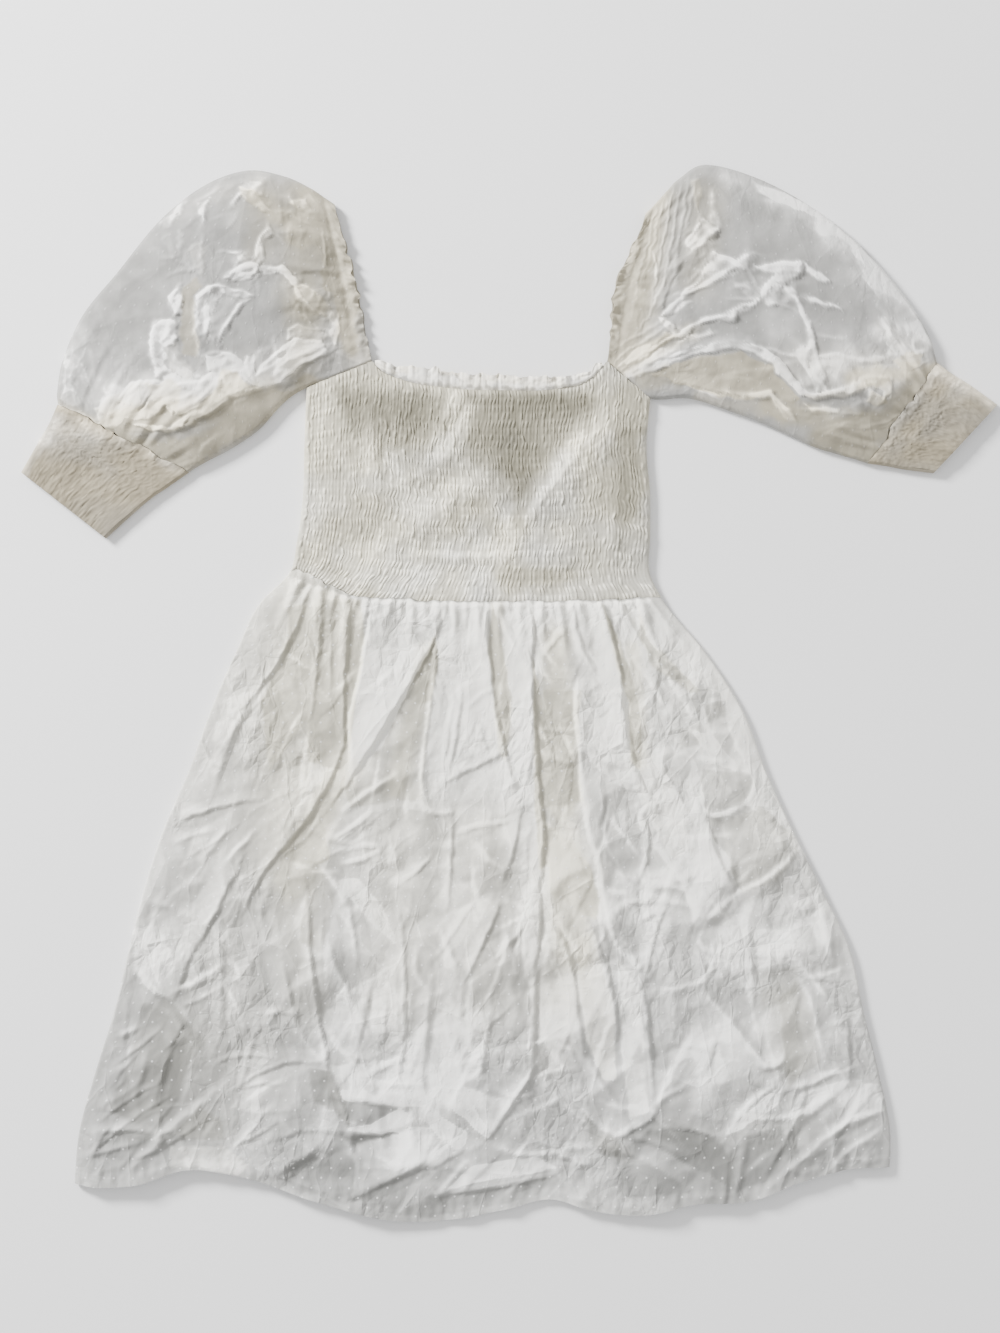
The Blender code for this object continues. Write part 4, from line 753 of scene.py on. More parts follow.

# Flat patches of cloth between the creases, painted lighter where a patch faces the light and
# darker where it lies in shade: x and y of each corner in the same pixels, then tone and warmth
SKIRT_FACETS = (
    ((366, 650, 410, 652, 432, 646, 404, 700, 384, 740, 352, 776, 350, 716), 0.32, 0.0),
    ((436, 636, 438, 660, 434, 700, 426, 748, 422, 800, 396, 800, 350, 808, 345, 788, 384, 742,
      404, 700), -0.16, 0.3),
    ((436, 634, 438, 664, 432, 700, 416, 704, 420, 668), -0.14, 0.7),
    ((440, 640, 484, 610, 490, 700, 470, 760, 430, 800, 428, 750, 438, 690), 0.10, 0.0),
    ((322, 600, 362, 600, 366, 640, 354, 716, 350, 760, 340, 770, 310, 760, 308, 700, 318, 650),
     -0.16, 0.9),
    ((290, 606, 320, 606, 314, 680, 306, 720, 270, 770, 262, 700, 284, 660), -0.12, 0.5),
    ((226, 700, 262, 690, 280, 660, 300, 690, 296, 730, 250, 760, 214, 740), 0.08, 0.0),
    ((344, 750, 345, 786, 322, 820, 330, 860, 300, 862, 282, 850, 330, 794), -0.04, 0.9),
    ((318, 862, 330, 880, 336, 900, 322, 950, 300, 940, 306, 900), -0.14, 0.2),
    ((338, 880, 358, 878, 384, 908, 396, 942), 0.30, 0.0),
    ((392, 806, 450, 812, 452, 870, 440, 880, 400, 870, 388, 830), -0.10, 0.0),
    ((492, 600, 500, 640, 512, 700, 506, 760, 498, 750, 494, 700, 488, 650), -0.14, 0.6),
    ((500, 616, 524, 650, 530, 700, 532, 760, 520, 820, 512, 840, 512, 740), 0.14, 0.0),
    ((532, 660, 542, 700, 544, 800, 550, 860, 540, 870, 534, 800, 534, 720), -0.16, 0.9),
    ((544, 690, 580, 690, 578, 740, 582, 800, 546, 806, 542, 740), -0.15, 0.5),
    ((546, 822, 588, 862, 600, 900, 596, 920, 550, 890), -0.04, 0.7),
    ((578, 690, 600, 722, 624, 696, 626, 740, 628, 790, 600, 770, 584, 750), 0.28, 0.0),
    ((598, 716, 608, 706, 624, 700, 610, 728), -0.18, 0.0),
    ((602, 604, 622, 650, 634, 690, 640, 720, 640, 770, 630, 760, 628, 700, 616, 668),
     -0.18, 0.8),
    ((612, 604, 634, 604, 648, 660, 640, 690, 628, 664), 0.16, 0.0),
    ((638, 604, 648, 640, 700, 690, 690, 692, 650, 664, 640, 640), -0.12, 0.5),
    ((650, 610, 690, 650, 722, 690, 700, 688, 656, 640), 0.22, 0.0),
    ((704, 704, 724, 700, 724, 716, 706, 722), -0.24, 0.1),
    ((676, 730, 700, 722, 704, 742, 680, 748), -0.16, 0.1),
    ((694, 732, 712, 736, 736, 768, 722, 766, 700, 744), 0.28, 0.0),
    ((702, 768, 748, 772, 756, 782, 742, 804, 706, 814, 700, 790), -0.18, 0.1),
    ((692, 756, 700, 780, 704, 814, 716, 846, 730, 884, 716, 884, 700, 840, 688, 790), 0.22, 0.0),
    ((720, 822, 760, 806, 790, 830, 800, 850, 776, 880, 740, 892, 726, 860), -0.18, 0.2),
    ((756, 776, 764, 790, 778, 806, 752, 806, 744, 804), 0.14, 0.0),
    ((706, 816, 720, 816, 724, 850, 712, 840), -0.20, 0.1),
    ((640, 762, 662, 764, 684, 812, 690, 850, 672, 860, 650, 820, 636, 790), 0.10, 0.1),
    ((600, 790, 632, 800, 646, 850, 636, 880, 606, 860), -0.08, 0.0),
    ((136, 930, 160, 926, 176, 960, 174, 996, 156, 994, 134, 966), 0.14, 0.0),
    ((172, 998, 196, 1028, 208, 1040, 186, 1066, 178, 1100, 140, 1122, 110, 1110, 130, 1060,
      142, 1004), -0.18, 0.1),
    ((236, 890, 250, 868, 234, 900, 206, 936, 188, 962, 184, 954, 204, 926), -0.16, 0.0),
    ((232, 1108, 250, 1076, 270, 1064, 298, 1066, 304, 1108, 262, 1112), 0.08, 0.0),
    ((310, 1068, 330, 1070, 344, 1098, 350, 1126, 338, 1110, 314, 1100), -0.30, 0.1),
    ((330, 1064, 372, 1062, 404, 1060, 424, 1086, 430, 1104, 404, 1106, 368, 1096, 344, 1094),
     0.12, 0.0),
    ((341, 1089, 362, 1090, 378, 1097, 360, 1099, 344, 1097), 0.30, 0.0),
    ((342, 1099, 368, 1099, 404, 1109, 372, 1120, 348, 1118), -0.16, 0.0),
    ((346, 1127, 372, 1122, 401, 1108, 412, 1118, 408, 1124, 417, 1147, 408, 1146, 399, 1131,
      372, 1130), 0.60, 0.0),
    ((338, 1128, 372, 1134, 404, 1130, 372, 1139, 352, 1143), -0.26, 0.0),
    ((338, 1144, 356, 1160, 352, 1194, 300, 1190, 280, 1176, 310, 1166), -0.12, 0.0),
    ((360, 1142, 400, 1134, 424, 1156, 352, 1194, 358, 1166), 0.06, 0.0),
    ((352, 1197, 426, 1159, 430, 1172, 380, 1198), -0.18, 0.0),
    ((172, 1146, 222, 1144, 248, 1162, 240, 1174, 200, 1166, 172, 1166), 0.14, 0.2),
    ((178, 1130, 200, 1104, 222, 1120, 226, 1138, 186, 1136), -0.12, 0.2),
    ((96, 1130, 150, 1136, 170, 1140, 150, 1156, 100, 1156), -0.10, 0.0),
    ((437, 1077, 450, 1083, 466, 1096, 477, 1112, 488, 1136, 472, 1122, 456, 1106, 446, 1092),
     0.80, 0.0),
    ((423, 1108, 447, 1121, 467, 1133, 465, 1142, 458, 1146, 437, 1131, 425, 1117), 0.80, 0.0),
    ((456, 1084, 500, 1096, 520, 1100, 496, 1130, 490, 1135), 0.12, 0.0),
    ((472, 1166, 500, 1160, 540, 1156, 556, 1168, 520, 1175, 470, 1183, 446, 1189), 0.30, 0.0),
    ((424, 1196, 500, 1185, 552, 1175, 540, 1192, 500, 1202, 430, 1216, 400, 1212), -0.18, 0.0),
    ((584, 1112, 598, 1130, 618, 1136, 618, 1156, 604, 1156, 590, 1140), -0.24, 0.1),
    ((620, 1136, 652, 1116, 690, 1150, 734, 1187, 700, 1168, 660, 1148), -0.28, 0.0),
    ((660, 1118, 690, 1124, 720, 1142, 732, 1170, 734, 1186, 692, 1152), -0.24, 0.0),
    ((622, 1160, 656, 1164, 690, 1190, 620, 1196, 618, 1170), -0.16, 0.0),
    ((726, 1132, 760, 1098, 782, 1082, 776, 1104, 752, 1120, 738, 1130), 0.34, 0.0),
    ((742, 1134, 780, 1124, 784, 1140, 764, 1180, 737, 1188), -0.16, 0.0),
    ((790, 1112, 800, 1092, 848, 1078, 878, 1084, 884, 1110, 850, 1116, 826, 1140, 800, 1160),
     0.16, 0.0),
    ((778, 1000, 796, 980, 812, 1010, 818, 1060, 786, 1086, 784, 1050), -0.14, 0.2),
    ((576, 940, 592, 930, 600, 960, 614, 1010, 616, 1080, 604, 1080, 586, 1040, 580, 980),
     0.22, 0.3),
    ((618, 960, 640, 990, 646, 1060, 648, 1110, 630, 1118, 622, 1060), 0.14, 0.1),
    ((704, 964, 722, 960, 744, 990, 764, 1060, 744, 1040, 720, 1010, 704, 990), -0.16, 0.0),
    ((752, 930, 790, 930, 796, 960, 760, 968), 0.12, 0.0),
    ((756, 970, 796, 966, 800, 990, 780, 1000, 760, 1010), -0.10, 0.1),
    ((836, 1030, 848, 1034, 850, 1080, 834, 1064), -0.16, 0.0),
    ((500, 902, 498, 950, 466, 978, 484, 940), -0.14, 0.0),
    ((400, 940, 440, 930, 444, 960, 430, 984, 416, 976), -0.10, 0.0),
    ((470, 982, 520, 950, 530, 1000, 526, 1060, 490, 1060, 484, 1020), -0.12, 0.0),
    ((326, 944, 350, 990, 396, 962, 400, 1040, 370, 1060, 336, 1050, 326, 1000), 0.10, 0.0),
    ((250, 960, 290, 930, 300, 960, 290, 1010, 262, 1020, 250, 1000), -0.10, 0.0),
    ((404, 960, 412, 1000, 412, 1060, 424, 1084, 404, 1056), 0.14, 0.0),
)
BODICE_FACETS = (
    ((340, 392, 428, 394, 446, 402, 436, 430, 424, 470, 410, 486, 398, 450, 372, 434, 350, 440,
      342, 420), -0.26, 0.2),
    ((470, 394, 560, 396, 600, 402, 586, 430, 560, 452, 548, 480, 530, 500, 522, 530, 508, 528,
      516, 500, 508, 480, 486, 466, 462, 460, 470, 430), -0.30, 0.2),
    ((618, 430, 642, 424, 644, 520, 628, 530, 600, 500, 604, 466), -0.18, 0.3),
    ((456, 396, 478, 400, 470, 424, 452, 452, 434, 474, 426, 460, 446, 420), 0.12, 0.0),
    ((578, 412, 604, 404, 606, 430, 586, 470, 560, 500, 544, 496, 560, 466), 0.12, 0.2),
    ((446, 488, 476, 474, 504, 488, 514, 508, 508, 536, 500, 512, 480, 494, 456, 500), 0.12, 0.0),
    ((416, 490, 452, 482, 446, 510, 420, 540, 372, 582, 352, 576, 380, 530), 0.08, 0.0),
    ((456, 506, 484, 500, 496, 520, 486, 540, 466, 548, 448, 524), -0.08, 0.2),
    ((500, 566, 552, 572, 566, 590, 520, 596, 496, 586), -0.12, 0.3),
)
LEFT_SLEEVE_FACETS = (
    ((150, 217, 158, 208, 169, 205, 161, 214, 153, 221), 0.26, 0.0),
    ((177, 214, 181, 200, 190, 195, 187, 206, 182, 217), 0.28, 0.0),
    ((200, 217, 205, 206, 213, 199, 210, 212, 204, 220), 0.22, 0.0),
    ((240, 188, 252, 191, 263, 203, 273, 213, 264, 216, 252, 207, 243, 199), 0.24, 0.5),
    ((58, 332, 66, 322, 77, 337, 71, 345, 62, 341), 0.24, 0.0),
    ((57, 350, 68, 352, 79, 372, 67, 369), 0.26, 0.0),
    ((100, 250, 118, 231, 137, 221, 131, 232, 112, 251), 0.12, 0.0),
    ((163, 240, 172, 235, 181, 262, 176, 263), 0.16, 0.0),
    ((182, 233, 187, 240, 185, 262, 181, 262), 0.18, 0.0),
    ((149, 252, 160, 249, 177, 263, 166, 262), 0.12, 0.0),
    ((157, 330, 168, 324, 180, 325, 182, 342, 176, 350, 168, 352, 172, 362, 164, 368, 156, 358,
      154, 344), 0.42, 0.0),
    ((155, 358, 164, 362, 176, 376, 190, 384, 184, 388, 170, 384, 160, 378), 0.34, 0.0),
    ((168, 352, 180, 346, 186, 360, 196, 372, 196, 384, 176, 376, 170, 362), 0.16, 0.1),
    ((172, 301, 178, 294, 185, 292, 187, 308, 185, 317, 180, 318, 174, 309), 0.34, 0.0),
    ((187, 292, 200, 280, 206, 290, 198, 300, 198, 330, 203, 350, 200, 362, 186, 358, 184, 330),
     0.05, 0.6),
    ((199, 302, 210, 292, 222, 289, 228, 296, 220, 306, 216, 320, 212, 334, 208, 346, 203, 340,
      200, 322), 0.46, 0.0),
    ((222, 289, 232, 292, 256, 298, 246, 303, 230, 300, 224, 296), 0.38, 0.0),
    ((220, 304, 230, 299, 240, 308, 232, 322, 226, 338, 221, 350, 212, 344, 214, 326), 0.18, 0.0),
    ((252, 303, 240, 309, 232, 323, 226, 340, 223, 352, 229, 338, 237, 322, 245, 312), 0.36, 0.0),
    ((208, 360, 236, 356, 246, 366, 250, 380, 240, 376, 228, 373, 218, 378, 211, 372), 0.40, 0.0),
    ((249, 360, 256, 358, 257, 378, 254, 389, 248, 380), 0.44, 0.0),
    ((258, 376, 270, 366, 282, 352, 296, 342, 306, 342, 322, 344, 330, 352, 312, 360, 298, 372,
      282, 384, 262, 389, 254, 388), 0.44, 0.0),
    ((290, 332, 300, 326, 318, 330, 332, 339, 322, 345, 300, 341, 288, 342), 0.20, 0.1),
    ((96, 410, 112, 398, 128, 396, 136, 387, 150, 384, 154, 396, 146, 408, 130, 418, 116, 432,
      104, 428), 0.34, 0.2),
    ((150, 385, 160, 386, 176, 382, 184, 392, 182, 404, 176, 418, 168, 408, 162, 417, 140, 422,
      128, 420, 148, 408, 154, 396), 0.28, 0.4),
    ((178, 388, 196, 392, 208, 380, 222, 373, 232, 372, 222, 388, 208, 402, 192, 414, 182, 418,
      176, 410), 0.44, 0.0),
    ((226, 374, 240, 375, 250, 390, 264, 393, 244, 398, 224, 403, 204, 414, 190, 423, 184, 421,
      204, 408, 218, 392), 0.22, 0.6),
    ((137, 427, 152, 427, 170, 430, 184, 422, 198, 413, 186, 428, 170, 434, 154, 433), 0.46, 0.3),
    ((229, 283, 240, 274, 250, 266, 262, 268, 260, 278, 246, 286, 236, 286), 0.42, 0.0),
    ((232, 257, 244, 256, 254, 264, 262, 268, 258, 258, 262, 240, 271, 230, 276, 240, 266, 244,
      266, 262, 258, 272, 250, 268), 0.30, 0.0),
    ((262, 274, 284, 270, 298, 280, 305, 289, 296, 287, 282, 277, 268, 279), 0.42, 0.0),
    ((296, 286, 306, 288, 318, 296, 328, 306, 330, 318, 318, 317, 306, 307, 298, 301), 0.24, 0.3),
    ((328, 304, 338, 316, 342, 332, 336, 346, 330, 336, 334, 326, 330, 314), 0.36, 0.2),
    ((160, 224, 174, 216, 180, 217, 174, 228, 168, 231), 0.26, 0.0),
    ((196, 206, 212, 200, 208, 216, 205, 230, 202, 216), 0.24, 0.0),
    ((252, 184, 263, 186, 266, 198, 260, 200, 254, 194, 240, 190), 0.26, 0.0),
    ((240, 194, 244, 198, 236, 206, 234, 212, 231, 207), 0.24, 0.0),
    ((196, 250, 206, 244, 210, 262, 206, 282, 198, 270, 190, 256), 0.14, 0.1),
    ((292, 206, 308, 202, 312, 212, 308, 226, 300, 226, 298, 214), 0.22, 0.6),
    ((62, 400, 66, 380, 74, 374, 72, 384, 84, 404, 76, 408), 0.26, 0.0),
    ((66, 352, 76, 350, 88, 372, 92, 396, 84, 384, 76, 366), 0.12, 0.0),
)
RIGHT_SLEEVE_FACETS = (
    ((701, 220, 709, 228, 716, 234, 712, 242, 702, 248, 688, 256, 683, 249, 690, 236), 0.38, 0.0),
    ((711, 192, 714, 200, 712, 214, 719, 228, 714, 233, 709, 222, 708, 206), 0.28, 0.0),
    ((711, 256, 718, 259, 728, 264, 740, 270, 722, 279, 712, 285, 698, 292, 686, 300, 674, 305,
      680, 297, 698, 284, 704, 268), 0.42, 0.0),
    ((674, 304, 690, 304, 680, 312, 666, 321, 660, 319, 668, 308), 0.38, 0.0),
    ((728, 268, 742, 258, 754, 260, 744, 266, 748, 276, 740, 276), 0.30, 0.0),
    ((748, 270, 764, 270, 780, 266, 800, 265, 800, 278, 790, 277, 778, 282, 770, 291, 760, 294,
      766, 284, 774, 276, 760, 277), 0.46, 0.0),
    ((802, 266, 810, 274, 820, 280, 827, 284, 816, 286, 808, 281, 802, 276), 0.40, 0.0),
    ((756, 292, 770, 288, 786, 290, 794, 300, 792, 307, 778, 307, 764, 311, 758, 303), 0.34, 0.0),
    ((728, 288, 744, 286, 756, 298, 754, 304, 742, 300, 736, 294), 0.20, 0.0),
    ((758, 303, 752, 308, 740, 313, 733, 319, 731, 326, 714, 325, 700, 327, 690, 333, 684, 341,
      676, 338, 688, 328, 702, 320, 720, 319, 738, 308), 0.40, 0.0),
    ((792, 298, 801, 312, 807, 324, 811, 344, 815, 360, 819, 374, 812, 370, 806, 350, 802, 330,
      796, 316), 0.34, 0.0),
    ((796, 356, 810, 351, 813, 366, 821, 380, 826, 393, 812, 393, 803, 376, 797, 366), 0.38, 0.0),
    ((604, 386, 640, 370, 664, 361, 690, 352, 720, 345, 744, 346, 760, 351, 776, 363, 790, 379,
      806, 396, 800, 398, 784, 385, 768, 368, 752, 355, 730, 351, 700, 356, 670, 366, 640, 377),
     0.48, 0.0),
    ((650, 376, 700, 358, 740, 354, 768, 370, 784, 388, 798, 400, 790, 406, 774, 394, 760, 398,
      744, 401, 720, 397, 690, 388), 0.12, 0.8),
    ((620, 377, 660, 350, 690, 338, 708, 334, 712, 338, 690, 348, 660, 360, 630, 374), 0.30, 0.1),
    ((616, 368, 634, 352, 662, 336, 676, 338, 660, 348, 640, 362), 0.22, 0.4),
    ((658, 320, 668, 326, 682, 340, 676, 342, 664, 332), 0.28, 0.1),
    ((800, 396, 820, 395, 844, 393, 864, 386, 880, 379, 889, 385, 890, 394, 880, 402, 883, 391,
      872, 388, 856, 395, 840, 401, 816, 402), 0.38, 0.3),
    ((800, 406, 812, 409, 838, 411, 836, 416, 812, 415), 0.30, 0.2),
    ((868, 394, 880, 398, 884, 404, 872, 408, 862, 402), 0.20, 0.5),
    ((882, 320, 890, 334, 900, 346, 910, 353, 900, 359, 892, 353, 884, 348, 886, 336), 0.38, 0.0),
    ((890, 362, 908, 354, 924, 356, 916, 368, 900, 372), 0.22, 0.5),
    ((752, 184, 770, 190, 800, 202, 820, 215, 812, 218, 790, 208, 770, 202, 758, 196), 0.36, 0.0),
    ((846, 236, 862, 250, 880, 270, 900, 292, 918, 318, 926, 340, 914, 344, 896, 330, 884, 310,
      864, 280, 850, 256), 0.14, 0.0),
    ((800, 302, 812, 303, 836, 312, 839, 316, 820, 311, 806, 307), 0.32, 0.0),
    ((684, 386, 710, 392, 740, 397, 768, 394, 777, 400, 790, 414, 795, 422, 784, 419, 770, 401,
      740, 402, 710, 398), 0.26, 0.0),
    ((690, 182, 698, 180, 700, 200, 696, 216, 692, 200), 0.18, 0.3),
    ((786, 364, 800, 362, 844, 363, 880, 360, 876, 364, 840, 369, 800, 368), 0.16, 0.0),
)

# Each cotton: its darkest colour, which the deepest painted shade reaches, its lightest colour,
# and the tint of its warm places
SKIRT_COLOURS = ((0.20, 0.20, 0.192, 1.0), (0.94, 0.935, 0.91, 1.0), (1.0, 0.955, 0.80, 1.0))
BODICE_COLOURS = ((0.16, 0.157, 0.14, 1.0), (0.935, 0.935, 0.915, 1.0), (1.0, 0.94, 0.76, 1.0))
FRILL_COLOURS = ((0.20, 0.195, 0.18, 1.0), (0.94, 0.94, 0.93, 1.0), (1.0, 0.94, 0.80, 1.0))
SLEEVE_COLOURS = ((0.20, 0.20, 0.195, 1.0), (0.95, 0.95, 0.95, 1.0), (1.0, 0.91, 0.70, 1.0))
CUFF_COLOURS = ((0.17, 0.165, 0.15, 1.0), (0.90, 0.89, 0.86, 1.0), (1.0, 0.885, 0.67, 1.0))

# Dots woven into the cotton, in metres
DOT_COLOUR = (0.93, 0.93, 0.91, 1.0)
DOT_SPACING = 0.0166
DOT_RADIUS = 0.0012

# The tone that each cloth starts from
SKIRT_TONE = 0.91
BODICE_TONE = 0.74
FRILL_TONE = 1.06
SLEEVE_TONE = 0.42
CUFF_TONE = 0.39
CUFF_UNDER_TONE = 0.45

# Crumples of the skirt: height, how much is added low down, cell size, seed, turn and stretch
SKIRT_CRUMPLES = (
    (0.5, 2.9, 78.0, 11, 0.5, 1.5),
    (0.9, 2.2, 41.0, 23, 1.9, 1.7),
    (0.8, 1.1, 21.0, 37, 2.7, 1.5),
    (0.5, 0.2, 11.0, 51, 0.9, 1.4),
)

# Crumples of a sleeve: height, cell size, number of its seed, turn and stretch
SLEEVE_CRUMPLES = (
    (1.6, 58.0, 2, 0.4, 1.2),
    (0.9, 30.0, 3, 1.3, 1.3),
    (0.5, 15.0, 4, 2.2, 1.2),
)

# How straight runs stand in for the curve of a stroke, and how far its crease or wash reaches
STROKE_STEPS = 7
CREASE_REACH = 3.0
WASH_REACH = 2.6

# How sharply a wash ends; washes wider than a limit end softly
WASH_EDGE = 3.0
SOFT_EDGE = 2.5
SOFT_FROM = 10.5

# How softly a flat patch ends, and how much its edges catch the light
FACET_EDGE = 1.3
FACET_LINE = 0.08

# The way to the window, level with the floor
WINDOW_X = -0.77
WINDOW_Y = 0.64

# Random waves repeat after this many cells each way
CELLS = 61
CRUMPLE_BEND = 0.28

# Larger than any distance or area here, and the least area of a cell that has a slope
HUGE = 1e9
LEAST_AREA = 0.2

# Edges sharper than this stay crisp, as the cut rims of the cloth do
RIM_ANGLE = math.radians(65.0)

# Where a tube closes, points nearer than this become one, in metres
CLOSING_GAP = 0.00002

# How finely each sheet is laid
SKIRT_ACROSS = 350
SKIRT_DOWN = 266
BACK_STRIP = 18
BACK_ACROSS = 60
FOLD_STEPS = 6
UNDER_STEPS = 6
RIB_PITCH = 3.0
RIB_STEPS = 4
ELASTIC_PITCH = 6.2
ELASTIC_STEPS = 4
RIB_HEIGHT = 1.3
BUST_LEVEL = 170.0
SLEEVE_ACROSS = 150
SLEEVE_UNDER = 26
SLEEVE_DOWN = 200
CUFF_RIBS = 32
CUFF_BANDS = 12
CUFF_STEPS = 4
CUFF_UNDER = 12
FRILL_LEFT = -114.0
FRILL_RIGHT = 81.5
FRILL_ACROSS = 420
FRILL_DOWN = 12

# The random seed of each sleeve, which its cuff's seam follows
LEFT_SEED = 101
RIGHT_SEED = 141

# Lamps: name, place and width in metres, and power
LAMPS = (
    ("window", (-2.3, 1.9, 1.35), 0.7, 330.0),
    ("fill", (1.8, -1.2, 2.4), 2.0, 10.0),
)
SKY_STRENGTH = 0.95
WHITE = (1.0, 1.0, 1.0, 1.0)
FLOOR_SIZE = 8.0
FLOOR_LEVEL = -0.001
FLOOR_DARK = (0.90, 0.90, 0.90, 1.0)
FLOOR_LIGHT = (0.93, 0.93, 0.93, 1.0)

# The camera: its place over the dress, and the height of what it sees, in metres
CAMERA_X = -0.0069
CAMERA_Y = 0.0232
CAMERA_HEIGHT = 1.9
VIEW_HEIGHT = 1.146
SENSOR = 36.0


def columns(table):
    """The columns of a table of numbers."""
    return np.array(table).T


def smooth_line(knots, values, at):
    """A smooth curve through the knots, read at the places asked for."""
    slopes = np.gradient(values, knots)
    at = np.clip(at, knots[0], knots[-1])
    cell = np.clip(np.searchsorted(knots, at, side="right") - 1, 0, len(knots) - 2)
    span = knots[cell + 1] - knots[cell]
    t = (at - knots[cell]) / span
    start = values[cell] * (1 + 2 * t) + slopes[cell] * span * t
    end = values[cell + 1] * (3 - 2 * t) - slopes[cell + 1] * span * (1 - t)
    return start * (1 - t) ** 2 + end * t ** 2


def smooth_columns(table, at):
    """Each column of a table as a smooth curve, read between its rows, one line under another."""
    rows = np.arange(float(len(table)))
    return [smooth_line(rows, values, at)[:, None] for values in columns(table)]


def line_at(table, x):
    """The height of a line across the body at each x."""
    return smooth_line(*columns(table), x)


def soft_step(t):
    """Nought to one, slow at both ends."""
    t = np.clip(t, 0.0, 1.0)
    return t * t * (3 - 2 * t)


def bell(off, width):
    """One in the middle, falling away to nought on both sides."""
    return np.exp(-(off / width) ** 2)


def arch(share):
    """Nought at both ends, and one in the middle."""
    return np.sin(math.pi * np.clip(share, 0.0, 1.0))


def inside(first, second, width):
    """Nought at two edges, rising to one a width away from both."""
    return soft_step(first / width) * soft_step(second / width)


def cell_corners(values, i, j):
    """The values at the four corners of each cell, from a table that repeats."""
    i0 = i % CELLS
    j0 = j % CELLS
    i1 = (i + 1) % CELLS
    j1 = (j + 1) % CELLS
    return values[i0, j0], values[i1, j0], values[i0, j1], values[i1, j1]


def soft_noise(u, v, seed):
    """Smooth random waves between minus one and one."""
    lattice = np.random.default_rng(seed).uniform(-1.0, 1.0, (CELLS, CELLS))
    i = np.floor(u).astype(int)
    j = np.floor(v).astype(int)
    fu = soft_step(u - i)
    fv = soft_step(v - j)
    a, b, c, d = cell_corners(lattice, i, j)
    return (a * (1 - fu) + b * fu) * (1 - fv) + (c * (1 - fu) + d * fu) * fv


def crumple(x, y, cell, seed, turn, stretch):
    """Flat three-cornered facets that meet in creases, as crumpled cotton has."""
    rng = np.random.default_rng(seed)
    lattice = rng.uniform(-1.0, 1.0, (CELLS, CELLS))
    diagonal = rng.random((CELLS, CELLS)) < 0.5
    u = (x * math.cos(turn) + y * math.sin(turn)) / cell
    v = (y * math.cos(turn) - x * math.sin(turn)) / (cell * stretch)
    bent_u = u + CRUMPLE_BEND * soft_noise(u * 0.9, v * 0.9, seed + 1)
    bent_v = v + CRUMPLE_BEND * soft_noise(u * 0.9, v * 0.9, seed + 2)
    i = np.floor(bent_u).astype(int)
    j = np.floor(bent_v).astype(int)
    fu = bent_u - i
    fv = bent_v - j
    a, b, c, d = cell_corners(lattice, i, j)
    falling = np.where(fu + fv < 1, a + fu * (b - a) + fv * (c - a),
                       d + (1 - fu) * (c - d) + (1 - fv) * (b - d))
    rising = np.where(fu > fv, a + fu * (b - a) + fv * (d - b), a + fv * (c - a) + fu * (d - c))
    return np.where(diagonal[i % CELLS, j % CELLS], falling, rising)


def ragged(x, y, size, seed):
    """Places moved about a little, so that what is laid there gets uneven edges."""
    move_x = soft_noise(x / 9.0, y / 9.0, seed) + 0.5 * soft_noise(x / 3.6, y / 3.6, seed + 1)
    move_y = soft_noise(x / 9.0, y / 9.0, seed + 2) + 0.5 * soft_noise(x / 3.6, y / 3.6, seed + 3)
    return x + size * move_x, y + size * move_y


def blurred(height, times):
    """The grid smoothed with its neighbours."""
    smooth = height.copy()
    for _ in range(times):
        padded = np.pad(smooth, 1, mode="edge")
        smooth = (padded[:-2, 1:-1] + padded[2:, 1:-1] + padded[1:-1, :-2] + padded[1:-1, 2:]) / 4
    return smooth


def standing_tone(height, fine, coarse):
    """Painted light and shade: crests lighter and hollows darker than the cloth round them, in a
    narrow and in a wide ring.
    """
    near = blurred(height, 5)
    return fine * (height - near) + coarse * (near - blurred(near, 50))


def lit_side(x, y, height, gain=1.3):
    """How far each place leans towards the window, between minus one and one."""
    x_down, x_across = np.gradient(x)
    y_down, y_across = np.gradient(y)
    rise_down, rise_across = np.gradient(height)
    area = x_across * y_down - x_down * y_across
    area = np.where(np.abs(area) < LEAST_AREA, HUGE, area)
    slope_x = (rise_across * y_down - rise_down * y_across) / area
    slope_y = (rise_down * x_across - rise_across * x_down) / area
    return np.tanh(-gain * (slope_x * WINDOW_X + slope_y * WINDOW_Y))


def from_photo(pixels):
    """Places on the dress in millimetres, for pixels of the photograph given as x, y, x, y."""
    return [((px - PHOTO_X) * PHOTO_SCALE, (PHOTO_Y - py) * PHOTO_SCALE)
            for px, py in zip(pixels[::2], pixels[1::2])]


def places_near(x, y, path_x, path_y, reach):
    """The points of the sheet that lie within reach of the box round a path."""
    return np.nonzero((x > np.min(path_x) - reach) & (x < np.max(path_x) + reach)
                      & (y > np.min(path_y) - reach) & (y < np.max(path_y) + reach))


def off_run(x, y, x0, y0, run_x, run_y):
    """How far points stand off a straight run, in X and Y, and the share of the run passed."""
    share = ((x - x0) * run_x + (y - y0) * run_y) / (run_x ** 2 + run_y ** 2)
    share = np.clip(share, 0.0, 1.0)
    return x - x0 - share * run_x, y - y0 - share * run_y, share


